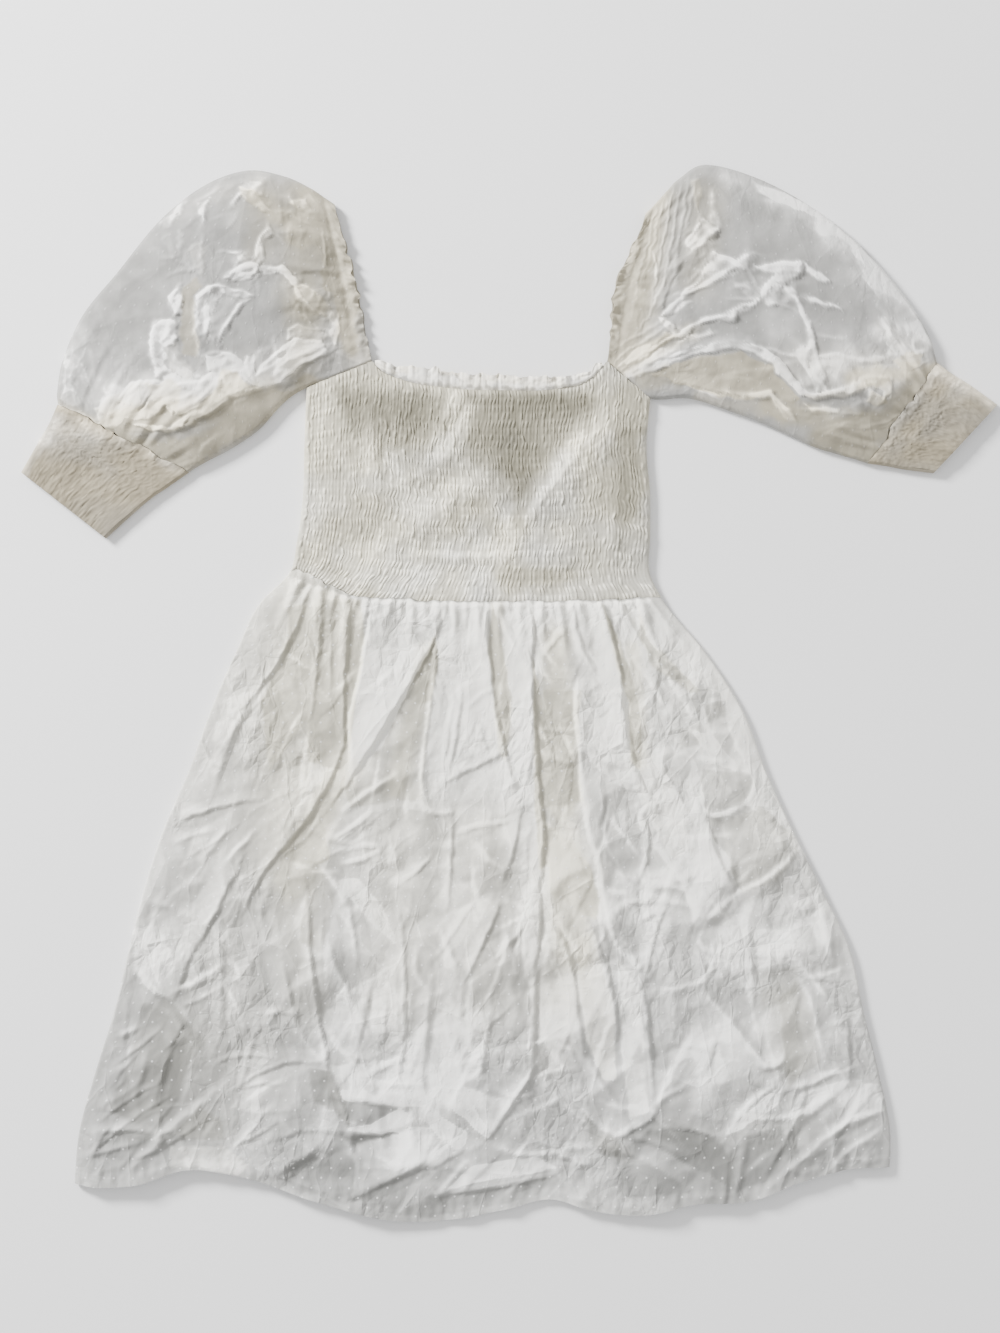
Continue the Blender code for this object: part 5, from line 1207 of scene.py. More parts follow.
def walk_strokes(table, x, y, reach):
    """For each stroke of a table: the points near it, their distance, width and place along it."""
    share = np.linspace(0.0, 1.0, STROKE_STEPS + 1)
    for *pixels, left_hand, right_hand, strength, other in table:
        path_x, path_y = [(1 - share) ** 2 * start + 2 * share * (1 - share) * middle
                          + share ** 2 * end for start, middle, end in zip(*from_photo(pixels))]
        near = places_near(x, y, path_x, path_y, reach * max(left_hand, right_hand))
        if not len(near[0]):
            continue
        at_x = x[near]
        at_y = y[near]
        best = np.full(at_x.shape, HUGE)
        turn = np.zeros_like(at_x)
        along = np.zeros_like(at_x)
        for step, (run_x, run_y) in enumerate(zip(np.diff(path_x), np.diff(path_y))):
            off_x, off_y, t = off_run(at_x, at_y, path_x[step], path_y[step], run_x, run_y)
            square = off_x ** 2 + off_y ** 2
            closer = square < best
            best = np.where(closer, square, best)
            turn = np.where(closer, run_x * off_y - run_y * off_x, turn)
            along = np.where(closer, (step + t) / STROKE_STEPS, along)
        width = np.where(turn > 0, left_hand, right_hand)
        yield near, np.sqrt(best), width, along, strength, other


def lay_creases(table, x, y):
    """The height of the creases at each point, and how much their crests gleam."""
    height = np.zeros_like(x)
    gleam = np.zeros_like(x)
    for near, off, width, along, peak, shine in walk_strokes(table, x, y, CREASE_REACH):
        taper = arch(0.08 + 0.84 * along) ** 0.7
        reach = np.maximum(1.7 * width - 2.9, 2.0)
        plane = np.clip(1.0 - off / reach, 0.0, 1.0)
        height[near] += peak * taper * plane ** 1.25
        # The gleam is a painted highlight along the crest.
        crest = 0.4 * shine * taper * bell(off, np.minimum(width, 2.6))
        gleam[near] = np.maximum(gleam[near], crest)
    return height, gleam


def lay_washes(table, x, y):
    """Painted light and shade, and warmth, from the washes; wide ones always end softly."""
    tone = np.zeros_like(x)
    warm = np.zeros_like(x)
    for near, off, width, _, lift, tint in walk_strokes(table, x, y, WASH_REACH):
        edge = np.where(width > SOFT_FROM, SOFT_EDGE, WASH_EDGE)
        cover = np.exp(-(off / width) ** edge)
        tone[near] += lift * cover
        warm[near] += tint * cover
    return tone, np.clip(warm, -0.2, 1.0)


def lay_facets(table, x, y, edge=FACET_EDGE, edge_light=FACET_LINE):
    """Painted light and shade, and warmth, of the flat patches, each inside its own corners, with
    their edges painted lighter towards the window and darker away from it.
    """
    tone = np.zeros_like(x)
    warm = np.zeros_like(x)
    for corners, lift, tint in table:
        knots = from_photo(corners)
        near = places_near(x, y, *zip(*knots), 2 * edge)
        at_x = x[near]
        at_y = y[near]
        within = np.zeros(at_x.shape, dtype=bool)
        best = np.full(at_x.shape, HUGE)
        facing = np.zeros(at_x.shape)
        pairs = list(zip(knots, knots[1:] + knots[:1]))
        round_way = math.copysign(1.0, sum(x0 * y1 - x1 * y0 for (x0, y0), (x1, y1) in pairs))
        for (x0, y0), (x1, y1) in pairs:
            run_x = x1 - x0
            run_y = y1 - y0
            off_x, off_y, _ = off_run(at_x, at_y, x0, y0, run_x, run_y)
            square = off_x ** 2 + off_y ** 2
            outward = (run_y * WINDOW_X - run_x * WINDOW_Y) * round_way / math.hypot(run_x, run_y)
            facing = np.where(square < best, outward, facing)
            best = np.minimum(best, square)
            lean = run_x / run_y if run_y else 0.0
            within ^= ((y0 > at_y) != (y1 > at_y)) & (at_x < x0 + (at_y - y0) * lean)
        deep = np.where(within, 1.0, -1.0) * np.sqrt(best)
        cover = soft_step(0.5 + deep / (2 * edge))
        tone[near] += lift * cover + edge_light * facing * bell(deep, edge)
        warm[near] += tint * cover
    return tone, warm


def strew_creases(table, seed, least_width):
    """Rows of short creases round each place of the table."""
    rng = np.random.default_rng(seed)
    rows = []
    for px, py, reach_x, reach_y, turn, spread, count, length, height in table:
        for _ in range(count):
            x = px + reach_x * rng.uniform(-1.0, 1.0)
            y = py + reach_y * rng.uniform(-1.0, 1.0)
            angle = math.radians(turn + spread * rng.normal())
            half = length * rng.uniform(0.4, 1.0)
            run_x = half * math.cos(angle)
            run_y = -half * math.sin(angle)
            bend = 0.14 * rng.normal()
            narrow = least_width * rng.uniform(1.0, 1.4)
            wide = narrow * rng.uniform(2.5, 6.0)
            sides = (narrow, wide) if rng.random() < 0.5 else (wide, narrow)
            peak = height * rng.uniform(0.5, 1.4)
            gleam = 0.35 * rng.uniform(0.0, 1.0)
            rows.append((x - run_x, y - run_y, x - bend * run_y, y + bend * run_x,
                         x + run_x, y + run_y, *sides, peak, gleam))
    return tuple(rows)


def body_sides(y):
    """The left and right folds of the body at a level."""
    levels, left, right = columns(BODY_SECTIONS[::-1])
    return smooth_line(levels, left, y), smooth_line(levels, right, y)


def follow_sides(x, y, level):
    """X moved so that the folded sides stand where the outline has them at the true level."""
    left, right = body_sides(level)
    true_left, true_right = body_sides(y)
    share = (x - left) / (right - left)
    return true_left + share * (true_right - true_left)


def seam_shift(line, x):
    """How far along Y an edge stands off a seam line, for half the seam gap square to it."""
    slope = (line(x + 1.0) - line(x - 1.0)) / 2.0
    return SEAM_GAP / 2 * np.hypot(1.0, slope)


def armhole_line(x):
    """The straight seams that carry the sleeves, left and right of the neck."""
    seams = []
    for neck_x, neck_y, arm_x, arm_y in ARMHOLES:
        slope = (neck_y - arm_y) / (neck_x - arm_x)
        seams.append(neck_y + (x - neck_x) * slope)
    return np.where(x < 0, *seams)


def neck_span(x):
    """True between the two neck corners."""
    left, right = columns(ARMHOLES)[0]
    return (x > left) & (x < right)


def neck_elastic(x):
    """The first elastic of the neck."""
    return line_at(NECK_ELASTIC, x)


def bodice_top(x):
    """The top edge of the smocked front."""
    return np.where(neck_span(x), neck_elastic(x), armhole_line(x))


def back_top(x):
    """The top edge of the back, a little below the front's frill."""
    return np.where(neck_span(x), line_at(NECK_EDGE, x) - BACK_DROP, armhole_line(x))


def waist_line(x):
    """The waist seam, pulled into small uneven waves by its gathers."""
    wave = 0.9 * soft_noise(x / 7.0, 0.0, 81) + 0.5 * soft_noise(x / 4.0, 0.0, 82)
    return line_at(WAIST_LINE, x) + wave


def way_down(y):
    """The share of the way from the waist to the hem."""
    return (WAIST_LEVEL - y) / (WAIST_LEVEL - HEM_LEVEL)


def skirt_place(x, level):
    """Y on the skirt for a nominal level, between the waist seam and the hem."""
    down = way_down(level)
    waist_rise = waist_line(x) - seam_shift(waist_line, x) - WAIST_LEVEL
    hem_drop = line_at(HEM_LINE, x) - HEM_LEVEL
    return level + waist_rise * (1.0 - down) ** 2 + hem_drop * down ** 3


def bodice_place(x, level, top_edge):
    """Y on the bodice for a nominal level, between its top edge and the waist seam."""
    down = (UNDERARM_LEVEL - level) / (UNDERARM_LEVEL - WAIST_LEVEL)
    top = top_edge(x) - seam_shift(top_edge, x)
    waist = waist_line(x) + seam_shift(waist_line, x)
    return top + (waist - top) * down


def turned_row(side, left, right, radius, top_count, under_count):
    """X, Z and a mark for the points on top, in a row that turns round one side of the body."""
    under = right - SEAM_INSET + side * SEAM_GAP / 2
    seam = left + SEAM_INSET + side * SEAM_GAP / 2
    fold = right - radius if side > 0 else left + radius
    angles = np.linspace(math.pi / 2, -math.pi / 2, FOLD_STEPS + 1)[1:-1]
    top_x = np.linspace(seam, fold, top_count + 1)
    arc_x = fold + side * radius * np.cos(angles)
    under_x = np.linspace(fold, under, under_count + 1)
    x = np.concatenate([top_x, arc_x, under_x])
    z = np.concatenate([np.full_like(top_x, 2 * radius), radius + radius * np.sin(angles),
                        np.zeros_like(under_x)])
    on_top = np.arange(len(x)) < top_count
    return x, z, on_top


def turned_sheet(side, levels, top_count, under_count, radius, place_row):
    """Points of a body panel, bottom row first, with a mark for those on top."""
    rows = []
    for level in levels:
        left, right = body_sides(level)
        x, z, on_top = turned_row(side, left, right, radius, top_count, under_count)
        y = place_row(x, level)
        rows.append(np.stack([follow_sides(x, y, level), y, z], axis=1))
    points = np.array(rows)
    return points, np.broadcast_to(on_top, points.shape[:2])


def tube_grid(top_x, top_y, low_x, low_y, top_count, under_count):
    """A flattened tube between two folds: its points, tops, shares of its width, and widths."""
    radius = SLEEVE_FOLD_RADIUS
    width = np.hypot(top_x - low_x, top_y - low_y)
    flat = width - 2 * radius
    angles = np.linspace(-math.pi / 2, math.pi / 2, FOLD_STEPS + 1)[1:-1]
    upper = radius + flat * np.linspace(0.0, 1.0, top_count + 1)
    top_fold = width - radius + radius * np.cos(angles)
    under = radius + flat * np.linspace(1.0, 0.0, under_count + 1)
    low_fold = np.broadcast_to(radius - radius * np.cos(angles), top_fold.shape)
    share = np.concatenate([upper, top_fold, under, low_fold, upper[:, :1]], axis=1) / width
    row_z = np.concatenate([np.full(top_count + 1, 2 * radius), radius - radius * np.sin(angles),
                            np.zeros(under_count + 1), radius + radius * np.sin(angles),
                            [2 * radius]])
    x = low_x + (top_x - low_x) * share
    y = low_y + (top_y - low_y) * share
    points = np.stack([x, y, np.broadcast_to(row_z, share.shape)], axis=2)
    on_top = np.arange(len(row_z)) <= top_count
    on_top[-1] = True
    return points, np.broadcast_to(on_top, share.shape), share, width


def raise_top(points, tops, lift):
    """The top of a sheet lifted, and never let down into what lies under it."""
    raised = np.maximum(points[:, :, 2] + lift, LEAST_HEIGHT)
    points[:, :, 2] = np.where(tops, raised, points[:, :, 2])


def flat_lengths(points):
    """Distances along the cloth, across and up, for the pattern to follow."""
    across = np.linalg.norm(np.diff(points[:, :, :2], axis=1), axis=2)
    across = np.concatenate([np.zeros((len(points), 1)), np.cumsum(across, axis=1)], axis=1)
    middle = across[:, across.shape[1] // 2][:, None]
    return across - middle, points[:, :, 1]


def deselect_all():
    """Nothing stays selected before a new piece is made."""
    bpy.ops.object.select_all(action="DESELECT")


def lay_sheet(node_slot, points, flat_u, flat_v, tone, warm, thickness, material, ring=False):
    """A grid of cloth, each of its points moved to its place, then given its thickness."""
    rows, across = points.shape[:2]
    deselect_all()
    bpy.ops.mesh.primitive_grid_add(x_subdivisions=across - 1, y_subdivisions=rows - 1, size=1.0)
    piece = bpy.context.object
    piece.name = node_slot + "_cloth"
    mesh = piece.data
    placed = (points + np.array([OFFSET_X, OFFSET_Y, 0.0])) * MM
    mesh.vertices.foreach_set("co", placed.reshape(-1))
    mesh.uv_layers[0].name = "cut"
    corners = np.empty(len(mesh.loops), dtype=np.int32)
    mesh.loops.foreach_get("vertex_index", corners)
    flat = np.stack(np.broadcast_arrays(flat_u, flat_v), axis=2).reshape(-1, 2) * MM
    mesh.uv_layers["cut"].data.foreach_set("uv", flat[corners].reshape(-1))
    for mark, values in (("tone", tone), ("warm", warm)):
        layer = mesh.attributes.new(mark, "FLOAT", "POINT")
        layer.data.foreach_set("value", values.reshape(-1).astype(np.float32))
    mesh.update()
    if ring:
        bpy.ops.object.mode_set(mode="EDIT")
        bpy.ops.mesh.select_all(action="SELECT")
        bpy.ops.mesh.remove_doubles(threshold=CLOSING_GAP)
        bpy.ops.object.mode_set(mode="OBJECT")
    piece.select_set(True)
    bpy.context.view_layer.objects.active = piece
    bpy.ops.object.shade_smooth()
    if thickness:
        wall = piece.modifiers.new("cloth", "SOLIDIFY")
        wall.thickness = thickness * MM
        wall.offset = -1.0
        bpy.ops.object.modifier_apply(modifier=wall.name)
        bpy.ops.object.shade_smooth_by_angle(angle=RIM_ANGLE)
    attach(piece, "root")
    piece.data.materials.append(material)
    return piece


def lay_tube(node_slot, side, points, flat_u, flat_v, tone, warm, thickness, material):
    """A sheet closed round into a tube, its rows turned about where it would face inwards."""
    flat_u, flat_v = np.broadcast_arrays(flat_u, flat_v)
    grids = [grid[::side] for grid in (points, flat_u, flat_v, tone, warm)]
    return lay_sheet(node_slot, *grids, thickness, material, ring=True)


class Nodes:
    """A short hand for wiring a material."""

    def __init__(self, name):
        self.material = bpy.data.materials.new(name)
        self.material.use_nodes = True
        self.tree = self.material.node_tree
        self.shader = self.tree.nodes["Principled BSDF"]

    def feed(self, socket, source):
        """A number, a colour or another node's output into a socket."""
        if isinstance(source, bpy.types.NodeSocket):
            self.tree.links.new(source, socket)
        else:
            socket.default_value = source

    def add(self, kind, sources=None, **settings):
        """A node with its settings, and what is fed into its sockets."""
        node = self.tree.nodes.new("ShaderNode" + kind)
        for key, value in settings.items():
            setattr(node, key, value)
        for socket, source in (sources or {}).items():
            self.feed(node.inputs[socket], source)
        return node

    def math(self, operation, *sources, clamp=False):
        """One sum."""
        node = self.add("Math", dict(enumerate(sources)), operation=operation, use_clamp=clamp)
        return node.outputs[0]

    def plus(self, first, second, clamp=False):
        """Two values added."""
        return self.math("ADD", first, second, clamp=clamp)

    def less(self, first, second, clamp=False):
        """The first value less the second."""
        return self.math("SUBTRACT", first, second, clamp=clamp)

    def times(self, first, second, clamp=False):
        """Two values multiplied."""
        return self.math("MULTIPLY", first, second, clamp=clamp)

    def vector(self, operation, *sources, output="Vector"):
        """One sum of places."""
        node = self.add("VectorMath", dict(enumerate(sources)), operation=operation)
        return node.outputs[output]

    def mix(self, share, first, second, blend="MIX"):
        """One colour into another."""
        sources = {"Factor": share, "A": first, "B": second}
        return self.add("Mix", sources, data_type="RGBA", blend_type=blend).outputs["Result"]

    def mark(self, name):
        """A value laid on the sheet's points."""
        return self.add("Attribute", attribute_name=name).outputs["Fac"]

    def noise(self, place, scale, detail=2.0, roughness=0.5, output="Fac"):
        """Soft random grain."""
        sources = {"Vector": place, "Scale": scale, "Detail": detail, "Roughness": roughness}
        return self.add("TexNoise", sources).outputs[output]

    def patches(self, place, scale, limit, contrast):
        """Soft-edged patches where the grain is over a limit."""
        return self.times(self.less(self.noise(place, scale), limit), contrast, clamp=True)

    def bump(self, height, strength, distance, under=None):
        """Relief in the light."""
        sources = {"Height": height, "Strength": strength, "Distance": distance}
        if under is not None:
            sources["Normal"] = under
        return self.add("Bump", sources).outputs["Normal"]


def fine_creases(kit, place, scale, turn, stretch, shift):
    """Small flat facets that meet in sharp creases, longer one way than the other."""
    turned = kit.add("Mapping", {"Vector": place, "Location": (shift, shift, 0.0),
                                 "Rotation": (0.0, 0.0, turn), "Scale": (1.0, 1.0 / stretch, 1.0)})
    cells = kit.add("TexVoronoi", {"Vector": turned.outputs[0], "Scale": scale, "Detail": 1.0,
                                   "Roughness": 0.5, "Lacunarity": 2.2},
                    voronoi_dimensions="2D", feature="DISTANCE_TO_EDGE")
    return cells.outputs["Distance"]


def dot_mask(kit, cut):
    """Small dots in staggered rows."""
    masks = []
    often = 1.0 / DOT_SPACING
    for shift in (0.0, 0.5):
        moved = kit.vector("MULTIPLY_ADD", cut, (often, often, often), (shift, shift, 0.0))
        part = kit.vector("FRACTION", moved)
        off = kit.vector("DISTANCE", part, (0.5, 0.5, 0.0), output="Value")
        masks.append(kit.times(kit.less(DOT_RADIUS / DOT_SPACING, off), 24.0, clamp=True))
    return kit.math("MAXIMUM", *masks)


def cotton(name, dark, light, tint, dots=0.0, crease=1.0, weave=1.0):
    """Light dotted cotton: its tone from the sheet's marks, its weave, dots, and fine creases with
    their light and shade painted into the tone.
    """
    kit = Nodes(name)
    place = kit.add("TexCoord").outputs["Object"]
    sway = kit.noise(place, 30.0, output="Color")
    bent = kit.vector("MULTIPLY_ADD", sway, (0.012, 0.012, 0.0), place)
    broad = fine_creases(kit, bent, 30.0, 0.3, 1.8, 3.1)
    fine = fine_creases(kit, bent, 64.0, -0.5, 1.4, 7.7)
    patchy = kit.patches(place, 11.0, 0.46, 7.0)
    both = kit.less(kit.times(fine, kit.times(patchy, 0.75)),
                    kit.times(broad, kit.plus(kit.times(patchy, 0.45), 0.5)))
    ridges = kit.less(1.0, kit.times(broad, 22.0), clamp=True)
    sharp = kit.times(ridges, kit.patches(place, 38.0, 0.47, 9.0))
    mottle = kit.less(kit.noise(place, 190.0, 4.0, 0.65), 0.5)
    level = kit.plus(kit.mark("tone"), kit.times(mottle, 0.18))
    # Painted light and shade of the fine creases, and painted highlights along their sharp ridges,
    # added to the tone.
    level = kit.plus(level, kit.times(kit.plus(both, 0.12), 0.22 * crease))
    level = kit.plus(level, kit.times(sharp, 0.05 * crease), clamp=True)
    low_part = kit.times(kit.math("POWER", level, 1.7), 0.62)
    top_part = kit.times(kit.math("POWER", level, 9.0), 0.38)
    colour = kit.mix(kit.plus(low_part, top_part, clamp=True), dark, light)
    colour = kit.mix(kit.mark("warm"), colour, tint, "MULTIPLY")
    normal = kit.bump(both, 1.0, 0.0068 * crease)
    normal = kit.bump(sharp, 0.6, 0.0004 * crease, normal)
    threads = kit.noise(place, 1400.0, 2.0, 0.7)
    normal = kit.bump(threads, 0.16 * weave, 0.0006, normal)
    if dots:
        dot = dot_mask(kit, kit.add("UVMap", uv_map="cut").outputs["UV"])
        colour = kit.mix(kit.times(dot, dots), colour, DOT_COLOUR)
        normal = kit.bump(dot, 0.5, 0.0003, normal)
    kit.feed(kit.shader.inputs["Base Color"], colour)
    kit.feed(kit.shader.inputs["Normal"], normal)
    kit.shader.inputs["Roughness"].default_value = 0.82
    kit.shader.inputs["Specular IOR Level"].default_value = 0.25
    kit.shader.inputs["Sheen Weight"].default_value = 0.12
    kit.shader.inputs["Sheen Roughness"].default_value = 0.5
    return kit.material


def gathers(x, y):
    """The gathers hanging from the waist seam."""
    height = np.zeros_like(x)
    for x0, lean, length, width, peak in SKIRT_GATHERS:
        down = np.clip((waist_line(x0) - y) / length, 0.0, 1.0)
        off = np.abs(x - x0 - lean * down)
        spread = width * (1.0 + 0.7 * down)
        height += peak * (1.0 - soft_step(down)) * np.exp(-(off / spread) ** 1.6)
    return height


def waist_ruck(x, y):
    """Small bent gathers and crumples, in patches, that the waist seam pulls up."""
    bent = x + 4.5 * soft_noise(x / 23.0, y / 15.0, 64)
    ruck = 0.9 * soft_noise(bent / 3.4, y / 15.0, 61) + 1.2 * soft_noise(bent / 7.4, y / 21.0, 62)
    ruck *= 0.75 + 0.7 * soft_noise(x / 14.0, y / 11.0, 65)
    return ruck + 1.9 * crumple(x, y, 9.0, 63, 0.3, 1.9)


def skirt_relief(x, y, creases):
    """How far the top of the skirt stands above its folded sides, and the light and shade painted
    on its creases.
    """
    left, right = body_sides(y)
    fade = inside(x - left, right - x, 18.0)
    down = np.clip(way_down(y), 0.0, 1.0)
    low_part = soft_step((down - 0.05) / 0.5)
    crush = sum((height + more * low_part) * crumple(x, y, cell, seed, turn, stretch)
                for height, more, cell, seed, turn, stretch in SKIRT_CRUMPLES)
    folds, gleam = lay_creases(creases, *ragged(x, y, 0.9, 83))
    folds = 0.72 * folds + gathers(x, y)
    # Painted light and shade: lighter where the folds and crumples lean towards the window, darker
    # where they lean away.
    shade = 0.24 * lit_side(x, y, folds, 1.6) + 0.16 * lit_side(x, y, crush, 3.6)
    relief = 2.4 - 0.8 * down + folds + crush
    seam = bell(waist_line(x) - y, 2.6)
    seam_depth = np.clip(waist_line(x) - y, 0.0, 60.0)
    rucked = waist_ruck(x, y) * np.exp(-seam_depth / 22.0)
    relief = relief * (1.0 - 0.4 * seam) + 0.9 * seam + rucked
    held = bell(seam_depth, SEAM_ROLL)
    relief = relief * (1.0 - held) + SEAM_RISE * held
    hem_edge = line_at(HEM_LINE, x)
    turn = HEM_EXTRA * soft_step((hem_edge + HEM_TURN + 1.0 - y) / 2.0)
    pucker = 0.5 * np.sin(x * 0.62 + 2.0 * soft_noise(x / 21.0, y / 90.0, 71))
    pucker *= bell(y - hem_edge - HEM_TURN, 5.0)
    return relief * fade + turn + pucker * fade, (gleam + shade) * fade


def skirt_tone(x, y, relief, light):
    """Tone and warmth of the skirt: painted shade deepening low down, with its washes and flat
    patches of painted light and shade.
    """
    tone, warm = lay_washes(SKIRT_WASHES, x, y)
    patch_tone, patch_warm = lay_facets(SKIRT_FACETS, *ragged(x, y, 1.1, 87))
    flaky = 1.15 + 0.4 * soft_noise(x / 12.0, y / 12.0, 89)
    down = way_down(y)
    patch_tone = np.where(patch_tone < 0.0, 0.8, 1.0) * patch_tone
    patch_tone *= 1.0 + 0.45 * soft_step((down - 0.70) / 0.14)
    tone = 0.5 * tone + patch_tone * flaky
    # Painted shade, darker towards the hem.
    tone += SKIRT_TONE - 0.22 * soft_step((down - 0.3) / 0.7)
    hanging = np.exp(-np.clip(waist_line(x) - y, 0.0, 90.0) / 24.0)
    # Painted light on the crests, strongest by the waist, and the painted light and shade of the
    # folds.
    tone += standing_tone(relief, 0.07, 0.015) * (1.0 + 2.0 * hanging) + light
    tone += 0.05 * soft_noise(x / 45.0, y / 60.0, 91)
    warm = 0.7 * warm + 0.8 * patch_warm
    warm += 0.34 - 0.28 * soft_step(down)
    return tone, warm


def make_skirt():
    """The gathered front with its creases, and the back that rests on the surface."""
    levels = np.linspace(HEM_LEVEL, WAIST_LEVEL, SKIRT_DOWN + 1)
    creases = SKIRT_CREASES + strew_creases(SKIRT_STREWN, 19, 2.3)
    dotted = cotton("skirt_cotton", *SKIRT_COLOURS, dots=0.5)
    pieces = []
    for name, side, across, under, wall in (
            ("skirt_front", 1, SKIRT_ACROSS, UNDER_STEPS, 0.0),
            ("skirt_back", -1, BACK_STRIP, BACK_ACROSS, CLOTH)):
        points, tops = turned_sheet(side, levels, across, under, SKIRT_FOLD_RADIUS, skirt_place)
        points = points[:, ::side]
        tops = tops[:, ::side]
        x = points[:, :, 0]
        y = points[:, :, 1]
        relief, light = skirt_relief(x, y, creases)
        relief = np.where(tops, relief, 0.0)
        raise_top(points, tops, relief)
        tone, warm = skirt_tone(x, y, relief, light)
        pieces.append(lay_sheet(name, points, *flat_lengths(points), tone, warm, wall, dotted))
    front, back = pieces
    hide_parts("skirt_front")
    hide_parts("skirt_back")
    return front, back


def row_drift(sway, band, rib_number):
    """How far ribs are drawn aside at each row, passing from one elastic to the next."""
    band_number = np.floor(band).astype(int)
    between = band - band_number
    drift = sway[band_number, rib_number] * (1.0 - between)
    return drift + sway[band_number + 1, rib_number] * between


def smock(points, tops, first_seed):
    """Ribs between rows of elastic, raised on the top of a sheet; returns how high each stands."""
    rows, across = points.shape[:2]
    rib = np.arange(across)[None, :] / RIB_STEPS
    band = np.arange(rows)[:, None] / ELASTIC_STEPS
    rib_number = np.floor(rib).astype(int)
    band_number = np.floor(band).astype(int)
    ribs = rib_number.max() + 1
    bands = band_number.max() + 1
    rng = np.random.default_rng(first_seed)
    strength = rng.uniform(0.1, 1.0, (bands, ribs))
    sway = rng.uniform(-0.30, 0.30, (bands + 1, 1))
    sway = sway + rng.uniform(-0.24, 0.24, (bands + 1, ribs + 1))
    puff = 0.45 + 0.55 * arch(band - band_number) ** 0.8
    height = arch(rib - rib_number) ** 0.9 * puff * strength[band_number, rib_number]
    held = np.clip(rib / 2.0, 0.0, 1.0)
    drift = row_drift(sway, band, rib_number) * held * RIB_PITCH
    points[:, :, 2] += np.where(tops, RIB_HEIGHT * height, 0.0)
    points[:, :, 0] += np.where(tops, drift, 0.0)
    return np.where(tops, height, 0.5)


def swell_bodice(points, tops, shares, side):
    """The top of the bodice swollen and waved, and held down along its rims; returns the swell."""
    x = points[:, :, 0]
    y = points[:, :, 1]
    left, right = body_sides(y)
    fade = inside(x - left, right - x, 16.0)
    swell, _ = lay_creases(BODICE_SWELLS, x, y)
    swell += 0.6 * soft_noise(x / 30.0, y / 26.0, 5) + 0.5 * crumple(x, y, 17.0, 6, 0.8, 1.6)
    points[:, :, 2] += np.where(tops, (swell + 0.4) * fade, 0.0)
    down = np.broadcast_to(shares[:, None], x.shape)
    held = inside(down, 1.0 - down, 0.05)
    held *= soft_step((x - left - SEAM_INSET) / 8.0) if side > 0 else 0.0
    wave_x = soft_noise(x / 7.0, y / 15.0, 7) * fade * held
    wave_y = 1.1 * soft_noise(x / 9.0, y / 12.0, 12) * fade * held
    points[:, :, 0] += np.where(tops, wave_x, 0.0)
    points[:, :, 1] += np.where(tops, wave_y, 0.0)
    rim = bell(down, 0.014) + bell(1.0 - down, 0.014)
    points[:, :, 2] -= np.where(tops, 0.6 * rim, 0.0)
    return swell


def bodice_tone(x, y, height, swell):
    """Tone and warmth of the smocking: painted light on its ribs and swells, with soft washes and
    patches of painted light and shade.
    """
    tone, warm = lay_washes(BODICE_WASHES, x, y)
    patch_tone, patch_warm = lay_facets(BODICE_FACETS, *ragged(x, y, 4.0, 97), 5.0, 0.0)
    tone = 0.7 * tone + 0.8 * patch_tone
    # Painted light and shade: ribs lighter on their crests, and swells lighter where they lean
    # towards the window and darker where they lean away.
    tone = BODICE_TONE + tone + 0.30 * (height - 0.25) + 0.06 * soft_noise(x / 5.0, y / 9.0, 8)
    tone += 0.16 * lit_side(x, y, swell)
    warm = (warm + patch_warm) * 0.6 + 0.70 + 0.30 * soft_noise(x / 24.0, y / 20.0, 9)
    return tone, warm


def make_bodice():
    """The smocked front, and the smocked back whose strip turns over the left side."""
    smocked = cotton("smocked_cotton", *BODICE_COLOURS, crease=0.4, weave=1.4)
    left, right = body_sides(BUST_LEVEL)
    width = right - left - SEAM_INSET
    bands = round((UNDERARM_LEVEL - WAIST_LEVEL) / ELASTIC_PITCH)
    shares = np.linspace(1.0, 0.0, bands * ELASTIC_STEPS + 1)
    levels = UNDERARM_LEVEL + (WAIST_LEVEL - UNDERARM_LEVEL) * shares
    pieces = []
    for name, side, ribs, under, top_edge in (
            ("bodice_front", 1, int(width / RIB_PITCH), UNDER_STEPS, bodice_top),
            ("bodice_back", -1, int(SEAM_INSET / RIB_PITCH), BACK_ACROSS, back_top)):
        points, tops = turned_sheet(side, levels, ribs * RIB_STEPS, under, BODICE_FOLD_RADIUS,
                                    lambda x, level: bodice_place(x, level, top_edge))
        swell = swell_bodice(points, tops, shares, side)
        height = smock(points, tops, 41 + side)
        tone, warm = bodice_tone(points[:, :, 0], points[:, :, 1], height, swell)
        grids = [grid[:, ::side] for grid in (points, *flat_lengths(points), tone, warm)]
        pieces.append(lay_sheet(name, *grids, SMOCKED_CLOTH, smocked))
    front, back = pieces
    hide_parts("bodice_front")
    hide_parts("bodice_back")
    return front, back


